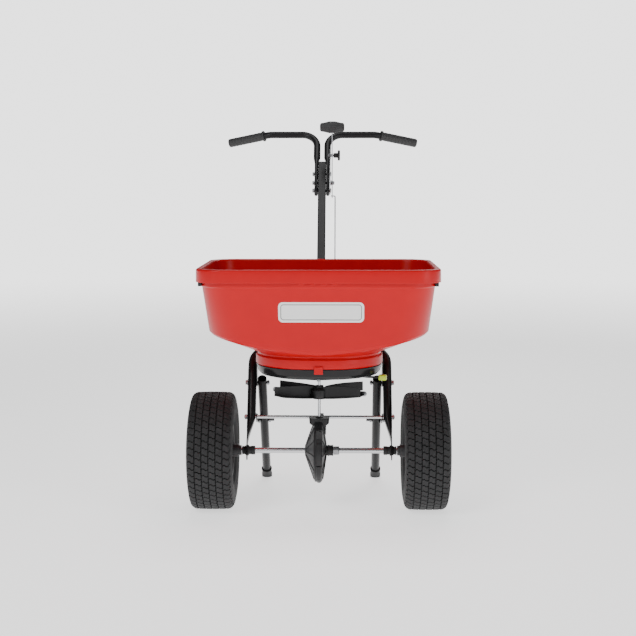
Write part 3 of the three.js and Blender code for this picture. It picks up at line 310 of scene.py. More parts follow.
def fillet(corners, bends, step=math.radians(6)):
    """A route in millimetres with its corners rounded to bend radii."""
    corners = [Vector(c) for c in corners]
    route = [corners[0]]
    for i, bend in enumerate(bends, start=1):
        before = (corners[i] - corners[i - 1]).normalized()
        after = (corners[i + 1] - corners[i]).normalized()
        turn = before.angle(after)
        axis = before.cross(after).normalized()
        start = corners[i] - before * bend * math.tan(turn / 2)
        centre = start + axis.cross(before) * bend
        steps = max(2, math.ceil(turn / step))
        for k in range(steps + 1):
            route.append(centre + Matrix.Rotation(turn * k / steps, 3, axis) @ (start - centre))
    route.append(corners[-1])
    return route


def section(centre, across, up, power=1.0, sides=32):
    """An oval ring; a power under 1 squares it off."""
    ring = []
    for j in range(sides):
        angle = j / sides * math.tau
        c = math.copysign(abs(math.cos(angle)) ** power, math.cos(angle))
        s = math.copysign(abs(math.sin(angle)) ** power, math.sin(angle))
        ring.append(centre + across * c + up * s)
    return ring


def swept(route, radius, across, sides=32):
    """Round rings along a route, carrying the first ring's directions along without twist."""
    rings = []
    tangent = (route[1] - route[0]).normalized()
    across = across.normalized()
    for i, place in enumerate(route):
        ahead = route[min(i + 1, len(route) - 1)] - place
        behind = place - route[max(i - 1, 0)]
        heading = (ahead.normalized() + behind.normalized()).normalized()
        across = tangent.rotation_difference(heading) @ across
        tangent = heading
        rings.append(section(place, across * radius, tangent.cross(across) * radius, 1.0, sides))
    return rings


def blocky(x, y, z):
    """A box given by its three [low, high] pairs, in millimetres from the axle."""
    corners = [(x[0], y[0]), (x[1], y[0]), (x[1], y[1]), (x[0], y[1])]
    return loft([[at(a, b, height) for a, b in corners] for height in z])


def hexagon(matrix, radius, low, high, chamfer=0.6):
    levels = [(radius - chamfer, low), (radius, low + chamfer), (radius, high - chamfer),
              (radius - chamfer, high)]
    return loft([[spun(matrix, r, a * math.pi / 3, h) for a in range(6)] for r, h in levels])


def screw(start, end, radius, head, nut, pitch=1.1):
    """A hexagon screw: chamfered head on a washer, rolled thread towards the end, and a nut."""
    length = (end - start).length / MM
    matrix = along(start, end - start)
    outline = [(0, 0.4), (radius, 0.4), (radius, length * 0.45)]
    height = length * 0.45
    while height < length - 1.2:
        outline.append((radius - 0.35, height + pitch / 2))
        height += pitch
        outline.append((radius, height))
    outline += [(radius - 0.7, length), (0, length)]
    shape = merge(
        lathe(outline, matrix, 20, 0),
        hexagon(matrix, radius * 1.75, 0, head * 0.8),
        lathe([(radius, head * 0.78), (radius * 2.1, head * 0.78), (radius * 2.1, head),
               (radius, head)], matrix, 32, 0.2))
    if nut:
        shape = merge(shape, hexagon(matrix, radius * 1.75, length - nut, length - 1.2))
    return shape


def piece(name, shape, slot, body, replaces=(), bevel=0.0, angle=32, material=None, cutters=()):
    """Makes a shape into an object that rides a body and takes a slot's finish."""
    mesh = bpy.data.meshes.new(name)
    mesh.from_pydata([tuple(p) for p in shape[0]], [], shape[1])
    work = bmesh.new()
    work.from_mesh(mesh)
    bmesh.ops.remove_doubles(work, verts=work.verts, dist=2e-6)
    bmesh.ops.recalc_face_normals(work, faces=work.faces)
    work.to_mesh(mesh)
    work.free()
    obj = bpy.data.objects.new(name, mesh)
    bpy.context.scene.collection.objects.link(obj)
    if cutters:
        carve(obj, cutters)
    dress(obj, material or MATERIALS[slot], bevel, angle)
    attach(obj, body)
    if replaces:
        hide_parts(*replaces)
    return obj


def carve(obj, cutters):
    """Cuts closed shapes out of an object and keeps the result as its mesh."""
    for i, shape in enumerate(cutters):
        mesh = bpy.data.meshes.new("cutter")
        mesh.from_pydata([tuple(p) for p in shape[0]], [], shape[1])
        cutter = bpy.data.objects.new(f"cutter_{i}", mesh)
        bpy.context.scene.collection.objects.link(cutter)
        modifier = obj.modifiers.new("cut", "BOOLEAN")
        modifier.operation = "DIFFERENCE"
        modifier.solver = "EXACT"
        modifier.object = cutter
        bpy.context.view_layer.update()
        graph = bpy.context.evaluated_depsgraph_get()
        result = bpy.data.meshes.new_from_object(obj.evaluated_get(graph))
        obj.modifiers.clear()
        obj.data = result
        bpy.data.objects.remove(cutter)


def dress(obj, material, bevel=0.0, angle=32):
    obj.data.materials.clear()
    obj.data.materials.append(material)
    obj.data.polygons.foreach_set("use_smooth", [True] * len(obj.data.polygons))
    obj.data.set_sharp_from_angle(angle=math.radians(angle))
    if bevel:
        modifier = obj.modifiers.new("edge", "BEVEL")
        modifier.width = bevel * MM
        modifier.segments = 2
        modifier.limit_method = "ANGLE"
        modifier.angle_limit = math.radians(angle)
        modifier.harden_normals = True


# ---------------------------------------------------------------------- carried nodes
EDGE = {"brace_left": 0.5, "brace_right": 0.5, "gauge_plate": 0.5, "control_lever": 0.6,
        "shutter_plate": 0.4, "impeller_blade_left": 0.35, "impeller_blade_right": 0.35,
        "post_bracket": 0.7, "axle_collar": 0.5}


def carried_nodes():
    """Every CAD node gets its slot's material; pieces made further on then replace some."""
    for row in frame["record"]["subparts"]:
        obj = NODES[row["node"]]
        dress(obj, MATERIALS[row["material_slot"]], EDGE.get(row["node"], 0.0))


# ----------------------------------------------------------------------------- wheels
TREAD_ROWS = 54
TREAD_COLUMNS = 6
TREAD_PITCH = 18.9
TREAD_GROOVE = 1.15
TREAD_RADIUS = 164
SHOULDER = 43
SIDEWALL_FIT = 0.955
SPOKES = 10


def crown(x):
    """The tread's radius across the tyre: flat in the middle, falling at the shoulders."""
    return 164.6 - (x / 42) ** 2 - 0.034 * max(0, abs(x) - SHOULDER) ** 2


def tread_block(matrix, row, column):
    """One wavy-edged block of the tread, set half a pitch on in every second column."""
    middle = (column - (TREAD_COLUMNS - 1) / 2) * TREAD_PITCH
    half = TREAD_PITCH / 2 - TREAD_GROOVE
    pitch = math.tau / TREAD_ROWS
    turn = (row + 0.5 * (column % 2)) * pitch
    reach = pitch / 2 - 1.25 / TREAD_RADIUS
    rings = []
    for drop, inset in ((7.0, 0.0), (0.8, 0.0), (0.0, 0.7)):
        ring = []
        for edge in (-1, 1):
            shares = [k / 5 * 2 - 1 for k in range(6)]
            for share in shares if edge < 0 else reversed(shares):
                x = middle + share * (half - inset)
                wave = 2.6 / TREAD_RADIUS * math.sin(share * math.pi)
                angle = turn + wave + edge * (reach - inset / TREAD_RADIUS)
                ring.append(spun(matrix, crown(x) - drop, angle, x))
        rings.append(ring)
    return loft(rings)


def wheel_matrix(name, side):
    """A wheel's middle, with z along its axle and outwards."""
    low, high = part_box("tyre_" + name)
    return along((low + high) / 2, (side, 0, 0))


def make_tyre(name, side, body):
    matrix = wheel_matrix(name, side)
    half = [(crown(x) - 5.6, x) for x in (0, 12, 24, 36, 46, 52, 57)]
    half += [(151, 59.5), (146, 62.2), (138, 64.8), (131, 66.0), (129, 66.4), (127, 66.0),
             (118, 65.4), (108, 62.6), (101, 60.0), (99, 60.6), (97, 59.0), (90, 54.0), (86, 51.2),
             (79, 50.2), (78, 47)]
    half = [(r, x * SIDEWALL_FIT) for r, x in half]
    outline = half + [(r, -x) for r, x in reversed(half[1:])]
    shapes = [lathe(outline, matrix, 112, 0.8)]
    for row in range(TREAD_ROWS):
        for column in range(TREAD_COLUMNS):
            shapes.append(tread_block(matrix, row, column))
        for edge in (-1, 1):
            angle = (row + 0.25) / TREAD_ROWS * math.tau
            rib = [(148, 57.4), (155.5, 54.6), (155.5, 57.0), (148, 59.8)]
            rings = []
            for offset in (-0.034, 0.034):
                rings.append([spun(matrix, r, angle + offset, x * edge) for r, x in rib])
            shapes.append(loft(rings))
    piece("tyre_tread_" + name, merge(*shapes), "tyre_rubber", body, ["tyre_" + name], angle=28)


def make_rim(name, side, body):
    matrix = wheel_matrix(name, side)
    barrel = [(73.5, -51.3), (85, -51.3), (85, -49), (77, -48.6), (77, 48.6), (85, 49), (85, 51.3),
              (73.5, 51.3)]
    web = [(17, 0), (38, 4), (60, 10), (74.5, 2), (74.5, 7), (60, 14), (38, 9), (17, 5)]
    hub = [(8.4, -78.5), (14, -78.5), (14, -72), (18, -71), (18, -30), (17, 44.6), (12, 44.6),
           (8.4, 47)]
    shapes = [lathe(barrel, matrix, 96, 0.9), lathe(web, matrix, 96, 1.4), lathe(hub, matrix, 48, 0.9)]
    outer_rib = [(15, 4), (15, 38), (22, 37), (56, 15.5), (74, 9), (74, 4), (58, 10)]
    inner_rib = [(15, 2), (15, -40), (21, -38), (60, -6), (74, -4), (74, 4), (58, 11)]
    for i in range(SPOKES):
        angle = (i + 0.5) / SPOKES * math.tau
        c, s = math.cos(angle), math.sin(angle)
        for rib in (outer_rib, inner_rib):
            rings = []
            for offset in (-1.5, 1.5):
                points = [Vector((r * c - offset * s, r * s + offset * c, x)) for r, x in rib]
                rings.append([matrix @ (point * MM) for point in points])
            shapes.append(loft(rings))
    piece("rim_spokes_" + name, merge(*shapes), "rim_plastic", body, ["rim_" + name], angle=34)
    stem = along(matrix @ (Vector((66, 0, 9)) * MM), matrix.to_3x3() @ UP)
    valve = [(0, 0), (4.2, 0), (3.4, 8), (3.2, 20), (2.4, 21), (2.4, 26), (0, 26)]
    valve = lathe(valve, stem, 24, 0.5)
    piece("valve_stem_" + name, valve, "grip_rubber", body)


def make_running_gear():
    for name, side in SIDES:
        body = "idler_wheel" if side < 0 else "drive_axle"
        make_tyre(name, side, body)
        make_rim(name, side, body)
        cap = [(0, 12.6), (6, 12.8), (9, 12), (13, 9), (13, 2), (12.2, 0), (8.4, 0), (8.4, 9.5),
               (0, 9.5)]
        cap = [(r, x + 343) for r, x in cap]
        shape = lathe_x(cap, 0, 0, AXLE_Z, side, 48, 0.8,
                        lambda angle, x: 1 + (0.018 * math.cos(angle * 16) if x < 352 else 0))
        piece("hub_cap_" + name, shape, "black_plastic", "drive_axle", ["axle_cap_" + name])
        bush = [(8.4, 180), (11, 180), (12.5, 181.5), (12.5, 190), (11.6, 191), (11.6, 197), (15, 198),
                (15, 201), (10.4, 201.3), (10.4, 204.7), (13.6, 205), (13.6, 208), (11.4, 209),
                (11.4, 213), (12.5, 214), (12.5, 216.5), (8.4, 216.5)]
        shape = lathe_x(bush, 0, 0, AXLE_Z, side, 48, 0.5)
        piece("bush_" + name, shape, "black_plastic", "frame", ["axle_bearing_" + name])
    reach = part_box("axle")[1].x / MM
    bar = [(0, -reach), (6.75, -reach), (7.95, 1.5 - reach), (7.95, reach - 1.5), (6.75, reach),
           (0, reach)]
    shape = lathe_x(bar, 0, 0, AXLE_Z, 1, 64, 0.3)
    piece("axle_bar", shape, "bright_steel", "drive_axle", ["axle"])


# ------------------------------------------------------------------------------ frame
def strut_y(z):
    """How far the hoop's sloping sides lie behind the axle at a height."""
    return (z - AXLE_Z) * STRUT_SLOPE


def make_hoop():
    """One half of the hoop, from its pressed end to the middle of the crossbar, mirrored."""
    wide = Vector((0, STRUT_SLOPE, 1)).normalized().cross(RIGHT)
    stations = [
        (140.5, STRUT_PLATE_X, 1.6, 6, 0.6), (142, STRUT_PLATE_X, 1.6, 11, 0.5),
        (146, STRUT_PLATE_X, 1.6, 16, 0.45), (152, STRUT_PLATE_X, 1.6, 18.6, 0.4),
        (188, STRUT_PLATE_X, 1.6, 19, 0.4), (204, STRUT_PLATE_X - 2, 3.6, 18.4, 0.6),
        (228, STRUT_X + 4, 8.6, 15.5, 0.85), (PRESS_TOP, STRUT_X, TUBE, TUBE, 1.0)]
    rings = []
    for lower, upper in zip(stations, stations[1:]):
        steps = 6 if upper[0] > 188 else 1
        for k in range(steps):
            t = k / steps
            z, x, thick, width, power = [a + (b - a) * t for a, b in zip(lower, upper)]
            rings.append(section(at(x, strut_y(z), z), RIGHT * thick * MM, wide * width * MM, power))
    corners = [(STRUT_X, strut_y(PRESS_TOP), PRESS_TOP), (STRUT_X, strut_y(385), 385),
               (STRUT_X, *HOOP), (0, *HOOP)]
    rings += swept([at(*p) for p in fillet(corners, (60, 75))], TUBE * MM, RIGHT)
    half = loft(rings, caps=False)
    piece("hoop_tube", merge(half, mirrored(half)), "frame_paint", "frame", ["frame_hoop"], angle=50)


def trim_at_floor(obj):
    """Cuts an object off flat, just above the floor, and closes it there."""
    work = bmesh.new()
    work.from_mesh(obj.data)
    everything = work.verts[:] + work.edges[:] + work.faces[:]
    cut = bmesh.ops.bisect_plane(work, geom=everything, plane_co=(0, 0, 0.0002),
                                 plane_no=(0, 0, -1), clear_outer=True)
    rim = [edge for edge in cut["geom_cut"] if isinstance(edge, bmesh.types.BMEdge)]
    bmesh.ops.holes_fill(work, edges=rim)
    work.to_mesh(obj.data)
    work.free()


def make_legs():
    for name, side in SIDES:
        top = at(side * LEG_TOP_X, *APEX)
        foot = at(side * FOOT[0], FOOT[1], 0)
        length = (foot - top).length / MM
        matrix = along(top, foot - top)
        inner = TUBE - 1.6
        end = length - LEG_CUT
        pipe = [(inner, -LEG_CUT), (TUBE, -LEG_CUT), (TUBE, end), (inner, end)]
        piece("leg_tube_" + name, lathe(pipe, matrix, 48, 0.4), "frame_paint", "frame", ["leg_" + name])
        start = length - 44
        cap = [(12.9, start), (15, start), (16, start + 1.2), (16, start + 4.5), (14.8, start + 6),
               (14.8, start + 24), (16, start + 27), (16, start + 66), (0, start + 66), (0, start + 27)]
        shape = lathe(cap, matrix, 48, 0.8)
        obj = piece("foot_rubber_" + name, shape, "grip_rubber", "frame", ["foot_cap_" + name])
        trim_at_floor(obj)
        apex = screw(at(side * 212, *APEX), at(side * 143, *APEX), 4, 6, 7)
        piece("apex_screw_" + name, apex, "zinc_plate", "frame", ["apex_bolt_" + name])
        hold = top + (foot - top).normalized() * 175 * MM
        ends = [Vector((side * x * MM, hold.y, hold.z)) for x in (190, 136)]
        nut = hexagon(along(ends[0], ends[1] - ends[0]), 7, 37.8, 44)
        brace = merge(screw(*ends, 4, 5.5, 0), nut)
        piece("brace_screw_" + name, brace, "zinc_plate", "frame", ["brace_bolt_" + name])


def make_tie_rod():
    reach = STRUT_X + TUBE + 0.3
    outline = [(0, -reach - 7)]
    for side in (-1, 1):
        ends = [reach + 7 - 0.55 * k for k in range(14)]
        thread = [(4.75 if k % 2 else 4.35, side * x) for k, x in enumerate(ends)]
        outline += thread if side < 0 else reversed(thread)
    outline.append((0, reach + 7))
    y = strut_y(TIE_Z)
    shapes = [lathe_x(outline, 0, y, TIE_Z, 1, 32, 0)]
    for side in (-1, 1):
        matrix = along(at(side * reach, y, TIE_Z), (side, 0, 0))
        shapes.append(hexagon(matrix, 8, 0.4, 5))
    piece("tie_bar", merge(*shapes), "bright_steel", "frame", ["tie_rod"])


# --------------------------------------------------------------- post and handlebars
def post_ring(half, corner, z):
    return [on_mast(x, y, z) for x, y in rounded(half, half, corner)]


def make_post():
    inner = POST_HALF - 2
    rings = [post_ring(POST_HALF, 3, 20), post_ring(POST_HALF, 3, POST_TOP),
             post_ring(inner, 1.5, POST_TOP), post_ring(inner, 1.5, 20)]
    piece("post_tube", loft(rings, loop=True), "frame_paint", "frame", ["post"], bevel=0.3)
    levels = ((POST_HALF, POST_TOP + 0.3), (POST_HALF, POST_TOP + 1.8), (POST_HALF - 1.2, POST_TOP + 3))
    lid = loft([post_ring(half, 3, z) for half, z in levels])
    piece("post_lid", lid, "black_plastic", "frame", ["post_cap"], bevel=0.3)
    for name, z in (("lower", 45), ("upper", 85)):
        shape = screw(on_mast(28, 0, z), on_mast(-29, 0, z), 4, 5, 7)
        piece("post_screw_" + name, shape, "zinc_plate", "frame", ["post_bolt_" + name])
    for name, z in zip(("lower", "upper"), CLAMPS):
        dome = lathe([(0, 0), (8, 0), (7.2, 1.6), (4.5, 2.2), (0, 2.2)],
                     along(on_mast(27.5, 0, z), MAST_TURN @ RIGHT), 32, 0.4)
        shape = merge(screw(on_mast(-31, 0, z), on_mast(29.7, 0, z), 4, 6.2, 0), dome)
        piece("clamp_screw_" + name, shape, "zinc_plate", "frame", ["clamp_bolt_" + name])


def make_handlebars():
    for name, side in SIDES:
        stations = [(578, 18.7, 5.0, 11.6, 0.6), (580, 18.7, 5.7, 12.4, 0.6),
                    (700, 18.7, 5.7, 12.4, 0.6), (730, BAR_X, BAR_RADIUS, BAR_RADIUS, 1.0)]
        rings = []
        for lower, upper in zip(stations, stations[1:]):
            steps = 8 if upper[0] > 700 else 1
            for k in range(steps):
                t = k / steps
                ease = t * t * (3 - 2 * t)
                z, x, thick, width, power = [a + (b - a) * (t if i == 0 else ease)
                                             for i, (a, b) in enumerate(zip(lower, upper))]
                rings.append(section(on_mast(x * side, 0, z), MAST_TURN @ Vector((thick * MM, 0, 0)),
                                     MAST_TURN @ Vector((0, width * MM, 0)), power))
        corners = [(BAR_X, 0, 730), (BAR_X, 0, BAR_Z), (BAR_REACH, 0, BAR_Z), BAR_END]
        route = [on_mast(p.x * side, p.y, p.z) for p in fillet(corners, (50, 60))]
        rings += swept(route, BAR_RADIUS * MM, MAST_TURN @ RIGHT)
        piece("bar_tube_" + name, loft(rings), "frame_paint", "frame", ["handlebar_" + name], angle=50)
        end = on_mast(BAR_END[0] * side, *BAR_END[1:])
        direction = (end - on_mast(BAR_REACH * side, 0, BAR_Z)).normalized()
        matrix = along(end - direction * 120.5 * MM, direction)
        outline = [(11.4, 0), (15.5, 0), (17.3, 1), (17.3, 6), (13.9, 8)]
        for k in range(9):
            start = 14 + k * 11.5
            outline += [(13.7, start), (14.2, start + 2), (14.2, start + 7.5), (13.7, start + 9.5)]
        outline += [(14.4, 121), (13, 126), (0, 126), (0, 121), (11.4, 121)]
        shape = lathe(outline, matrix, 96, 0.8,
                      lambda angle, z: 1 + (0.011 * math.cos(angle * 24) if 12 < z < 118 else 0))
        piece("hand_grip_" + name, shape, "grip_rubber", "frame", ["grip_" + name], angle=40)


# ----------------------------------------------------------------------- rate control
def on_arc(reach, degrees):
    """The (y, z) of a point at a reach from the lever's pivot, turned towards the hopper."""
    angle = math.radians(degrees)
    return -reach * math.sin(angle), reach * math.cos(angle)


def make_control():
    sideways = MAST_TURN @ RIGHT
    y, z = on_arc(177, 46)
    outline = [(0, -39), (9, -39), (13, -36), (13.5, -30), (15, -22), (18, -10), (18, 10), (15, 22),
               (13.5, 30), (13, 36), (9, 39), (0, 39)]
    outline = soften(outline, 2.5, 4, closed=False)
    shape = lathe(outline, along(on_control(32.5, y, z), sideways), 96, 0,
                  lambda angle, x: 1 + 0.045 * max(-0.6, math.cos(angle * 12)) * (abs(x) < 37))
    piece("lever_handle", shape, "grip_rubber", "lever", ["lever_grip"], angle=40)

    spacer = lathe([(4, 0), (8, 0), (8, 3.2), (4, 3.2)],
                   along(on_control(27.5, 0, 0), sideways), 32, 0.3)
    pivot = merge(screw(on_control(-31, 0, 0), on_control(40, 0, 0), 4, 6.2, 0),
                  hexagon(along(on_control(34.3, 0, 0), sideways), 7, 0, 4.7), spacer)
    piece("pivot_screw", pivot, "zinc_plate", "frame", ["lever_pivot_bolt"])

    y, z = on_arc(96, 17)
    spacer = lathe([(0, 0), (5.4, 0), (5.4, 8.5), (0, 8.5)],
                   along(on_control(27.5, y, z), sideways), 32, 0.5)
    stop = merge(screw(on_control(20.5, y, z), on_control(52, y, z), 3.2, 3.9, 0, 0.9), spacer)
    piece("stop_screw", stop, "zinc_plate", "rate_stop", ["stop_bolt"])

    matrix = along(on_control(0, y, z), sideways)
    outline = [(0, 50), (13, 50), (16.4, 51), (16.6, 54), (16.2, 57), (13, 58), (9, 57.2), (0, 57.2)]
    star = lathe(outline, matrix, 96, 0.7, lambda angle, x: 1 + 0.11 * math.cos(angle * 6))
    hub = lathe([(3.6, 37), (7.4, 37), (8, 38), (8, 51), (3.6, 51)], matrix, 40, 0.6)
    piece("star_knob", merge(star, hub), "black_plastic", "stop_knob", ["stop_knob"], angle=36)

    y, top = 85 * math.cos(math.radians(10)), 85 * math.sin(math.radians(10))
    low = top - 585.4
    route = fillet([(28, y, top), (42, y, top), (42, y, low), (32, y, low)], (5, 5), math.radians(12))
    rings = swept([on_control(*p) for p in route], 2 * MM, MAST_TURN @ UP, 20)
    piece("link_wire", loft(rings), "bright_steel", "link", ["link_rod"], angle=50)

    ticks = []
    for i in range(11):
        angle = math.radians(14 + i * 2)
        length = 5.5 if i % 5 == 0 else 3.2
        rings = []
        for x in (27.2, 27.35):
            corners = ((102, -0.35), (102 + length, -0.35), (102 + length, 0.35), (102, 0.35))
            rings.append([on_control(x, -r * math.sin(angle) - w * math.cos(angle),
                                     r * math.cos(angle) - w * math.sin(angle)) for r, w in corners])
        ticks.append(loft(rings))
    piece("gauge_marks", merge(*ticks), "zinc_plate", "frame", material=MARKING)


# ----------------------------------------------------------------------------- hopper
def bin_ring(half, front, rear, corner, z, rise=0, steps=14, run=12):
    """A corner-rounded ring; rise lifts its left and right ends."""
    ring = []
    corners = ((1, 1, 0), (-1, 1, 90), (-1, -1, 180), (1, -1, 270))
    for i, (sx, sy, start) in enumerate(corners):
        points = []
        for k, (tx, ty, turn) in enumerate(((sx, sy, start), corners[(i + 1) % 4])):
            depth = rear if ty > 0 else front
            for step in range(steps + 1) if k == 0 else (0,):
                angle = math.radians(turn + 90 * step / steps)
                points.append((tx * (half - corner) + corner * math.cos(angle),
                               ty * (depth - corner) + corner * math.sin(angle)))
        last, following = points[-2:]
        for k in range(1, run):
            points.insert(-1, tuple(a + (b - a) * k / run for a, b in zip(last, following)))
        for x, y in points[:-1]:
            ring.append(at(x, y, z + rise * abs(x / half) ** RISE_POWER))
    return ring


def round_level(radius, z):
    """A round ring's arguments for bin_ring."""
    return radius, radius, radius, radius, z, 0


def drum_level(half, z):
    """The arguments of a ring that is a little wider than it is deep."""
    return half, half - 26, half - 26, half - 27, z, 0


def make_hopper():
    outside = [
        round_level(7, FLOOR_Z), drum_level(172, FLOOR_Z), drum_level(176, FLOOR_Z + 4),
        drum_level(176, FLOOR_Z + 26), drum_level(171, FLOOR_Z + 29), drum_level(171, FLOOR_Z + 35),
        (292, 187, 175, 118, 460, END_RISE), (298, 192, 180, 115, CREASE_Z, END_RISE),
        (309, 232, 232, 84, BAND_Z, 0), (312, 235, 235, 80, RIM_Z - 46, 0),
        (312, 235, 235, 80, RIM_Z - 9, 0), (318, 240, 240, 68, RIM_Z - 9, 0),
        (319, 241, 241, 68, RIM_Z - 35, 0), (323, 245, 245, 70, RIM_Z - 35, 0),
        (322.6, 244.6, 244.6, 70, RIM_Z - 3, 0), (320, 242, 242, 68, RIM_Z, 0)]
    inside = [
        (309, 231, 231, 76, RIM_Z, 0), (307, 229, 229, 76, RIM_Z - 4, 0),
        (304, 227, 227, 79, RIM_Z - 50, 0), (294, 188, 176, 112, 474, END_RISE),
        (288, 183, 171, 112, 466, END_RISE), drum_level(166, FLOOR_Z + 37),
        drum_level(163, FLOOR_Z + 8), drum_level(159, FLOOR_Z + 4), round_level(7, FLOOR_Z + 4)]
    levels = soften(outside + inside, 2.2, 3)
    shell = loft([bin_ring(*level) for level in levels], loop=True)
    cutters = [blocky((x - 11, x + 11), (y - 15, y + 15), (400, 430)) for x, y in PORTS]
    piece("hopper_shell", shell, "red_plastic", "frame", ["hopper"], angle=40, cutters=cutters)

    tab = blocky((-12, 12), (-155, -148.5), (403, 424))
    piece("hopper_tab", tab, "red_plastic", "frame", bevel=1.6)
    keys = [blocky((x - 7, x + 7), (-241.5, -234), (RIM_Z - 39, RIM_Z - 33))
            for x in (-44, -15, 15, 44)]
    piece("rim_keys", merge(*keys), "red_plastic", "frame", bevel=1.2)
    # Black blocks under the rim's ends are painted shade: they stand in for the shadow in the hand-hold recesses
    # under the rim.
    recess_shade_blocks = [blocky(sorted((side * 306, side * 316)), (-196, -168), (RIM_Z - 46, RIM_Z - 36))
             for _, side in SIDES]
    piece("rim_recess_shade", merge(*recess_shade_blocks), "black_plastic", "frame", bevel=1.5)
    for name, y in (("front", -HOPPER_BOLT_Y), ("rear", HOPPER_BOLT_Y)):
        shape = screw(at(0, y, TRAY_Z - 5.3), at(0, y, FLOOR_Z + 10), 3, 5, 4.9, 0.9)
        piece("hopper_screw_" + name, shape, "zinc_plate", "frame", ["hopper_bolt_" + name])


LABEL_AT = (8, 577)


def label_sheet(half_width, half_height, corner, proud, inner=None):
    """A rounded patch on the hopper's sloping front; inner leaves only its border."""
    def place(u, v):
        z = LABEL_AT[1] + v
        front = 192 + (232 - 192) * (z - CREASE_Z) / (BAND_Z - CREASE_Z)
        return at(LABEL_AT[0] + u, -front - proud, z)

    outer = [place(u, v) for u, v in rounded(half_width, half_height, corner)]
    if not inner:
        return outer, [tuple(range(len(outer)))]
    hole = rounded(half_width - inner, half_height - inner, corner - inner)
    return loft([outer, [place(u, v) for u, v in hole]], caps=False)


def make_label():
    piece("label_plate", label_sheet(112, 27, 12, 0.5), "red_plastic", "frame", material=LABEL)
    piece("label_line", label_sheet(106, 21, 8, 0.8, 1.6), "red_plastic", "frame", material=MARKING)


def make_tray():
    collar = TRAY_Z - 9
    levels = [
        round_level(75, collar), round_level(78, collar), round_level(78, TRAY_Z),
        drum_level(152, TRAY_Z), drum_level(162, TRAY_Z + 3), drum_level(170, TRAY_Z + 11), drum_level(174, FLOOR_Z - 3),
        drum_level(174, FLOOR_Z - 0.3), drum_level(171, FLOOR_Z - 0.3), drum_level(167, TRAY_Z + 12),
        drum_level(155, TRAY_Z + 3), round_level(75, TRAY_Z + 3)]
    shapes = [loft([bin_ring(*level) for level in soften(levels, 2.0, 3)], loop=True)]
    for degrees in (90, 210, 330):
        tab = blocky((76, 82.5), (-9, 9), (collar, collar + 3))
        shapes.append(moved(tab, about_shaft(degrees)))
    for _, side in SIDES:
        cheek = sorted((side * 177, side * 180))
        shelf = sorted((side * 138, side * 178))
        shapes.append(blocky(shelf, (58, 102), (FLOOR_Z - 4, FLOOR_Z - 0.3)))
        outline = [(58, FLOOR_Z - 0.3), (58, 362), (65, 345), (80, 330), (95, 345), (102, 362),
                   (102, FLOOR_Z - 0.3)]
        outline = soften(outline, 9, 4)
        shapes.append(loft([[at(x, y, z) for y, z in outline] for x in cheek]))
        shapes.append(blocky(sorted((side * 80, side * 86)), (-92, 100), (TRAY_Z + 1, 410.7)))
    for y in (-HOPPER_BOLT_Y, HOPPER_BOLT_Y):
        sleeve = [(3.4, 1), (8, 1), (8, 25.7), (3.4, 25.7)]
        shapes.append(lathe(sleeve, along(at(0, y, TRAY_Z), UP), 32))
    piece("tray_dish", merge(*shapes), "tray_plastic", "frame", ["tray"], bevel=0.5, angle=38)


def make_diffuser():
    """The ring under the tray, with an arm out to its bright knob."""
    turn = about_shaft(-20)
    low, high = DIFFUSER
    ring = lathe([(79.6, low), (99, low), (99, high), (79.6, high)], UPRIGHT, 96, 0.5)
    arm = merge(blocky((94, 174), (-12, 12), DIFFUSER), blocky((170, 188), (-5, 5), DIFFUSER))
    piece("diffuser_ring", merge(ring, moved(arm, turn)), "black_plastic", "diffuser",
          ["diffuser_plate"], bevel=0.5)
    levels = ((375, 9, 7.5, 0.7), (376.2, 10.6, 8.6, 0.65), (378, 11, 9, 0.6), (387, 11, 9, 0.6),
              (389, 10.4, 8.6, 0.65), (390, 9, 7.4, 0.7))
    knob = [section(at(186, 0, z), Vector((a * MM, 0, 0)), Vector((0, b * MM, 0)), power, 40)
            for z, a, b, power in levels]
    piece("diffuser_tab", moved(loft(knob), turn), "lime_plastic", "diffuser", ["diffuser_knob"],
          angle=36)


# -------------------------------------------------------------------------- impeller
def make_impeller():
    shapes = []
    hub = [(4.4, IMPELLER_Z - 1), (20, IMPELLER_Z - 1), (22, IMPELLER_Z + 1), (24, IMPELLER_Z + 6),
           (24, 338), (20, 341), (12, 344), (12, 350), (4.4, 350)]
    shapes.append(lathe(hub, UPRIGHT, 64, 1.0))
    steps = 12
    for degrees in IMPELLER_ARMS:
        turn = Matrix.Rotation(math.radians(degrees), 4, "Z")
        arm = []
        fin = []
        for k in range(steps + 1):
            t = k / steps
            r = 8 + (IMPELLER_RADIUS - 8) * t
            width = 13 + 12 * t ** 0.9
            z = IMPELLER_Z + 14 * t ** 1.4
            arm.append([(r, -width, z), (r, width, z + 1.5), (r, width, z + 4), (r, -width, z + 3)])
            y = -8 - 15 * t + 5 * math.sin(math.pi * t)
            x = 15 + (IMPELLER_RADIUS - 15) * t
            low = IMPELLER_Z + 1 + 13 * t ** 1.4
            top = 353 - 5 * (1 - t) ** 3
            fin.append([(x, y - 1.5, low), (x, y + 1.5, low), (x, y + 1.2, top), (x, y - 1.2, top)])
        for rings in (arm, fin):
            shape = loft([[Vector(p) * MM for p in ring] for ring in rings])
            shapes.append(moved(shape, Matrix.Translation(at(0, 0, 0)) @ turn))
    piece("impeller_fan", merge(*shapes), "black_plastic", "impeller", ["impeller"], bevel=0.6)
    shaft = [(0, 196), (3.2, 196), (4, 197), (4, 446), (3.2, 447), (0, 447)]
    piece("impeller_spindle", lathe(shaft, UPRIGHT, 40, 0.3), "bright_steel", "impeller",
          ["impeller_shaft"])
    pin = [(0, -26), (1.4, -26), (2, -25), (2, 25), (1.4, 26), (0, 26)]
    piece("agitator_wire", lathe_x(pin, 0, 0, 430, 1, 24, 0.2), "bright_steel", "impeller",
          ["agitator_pin"])


# --------------------------------------------------------------------------- gearbox
CASE_RIBS = 12
CASE_SCREW_Y = 60
CASE_SCREW_Z = 121


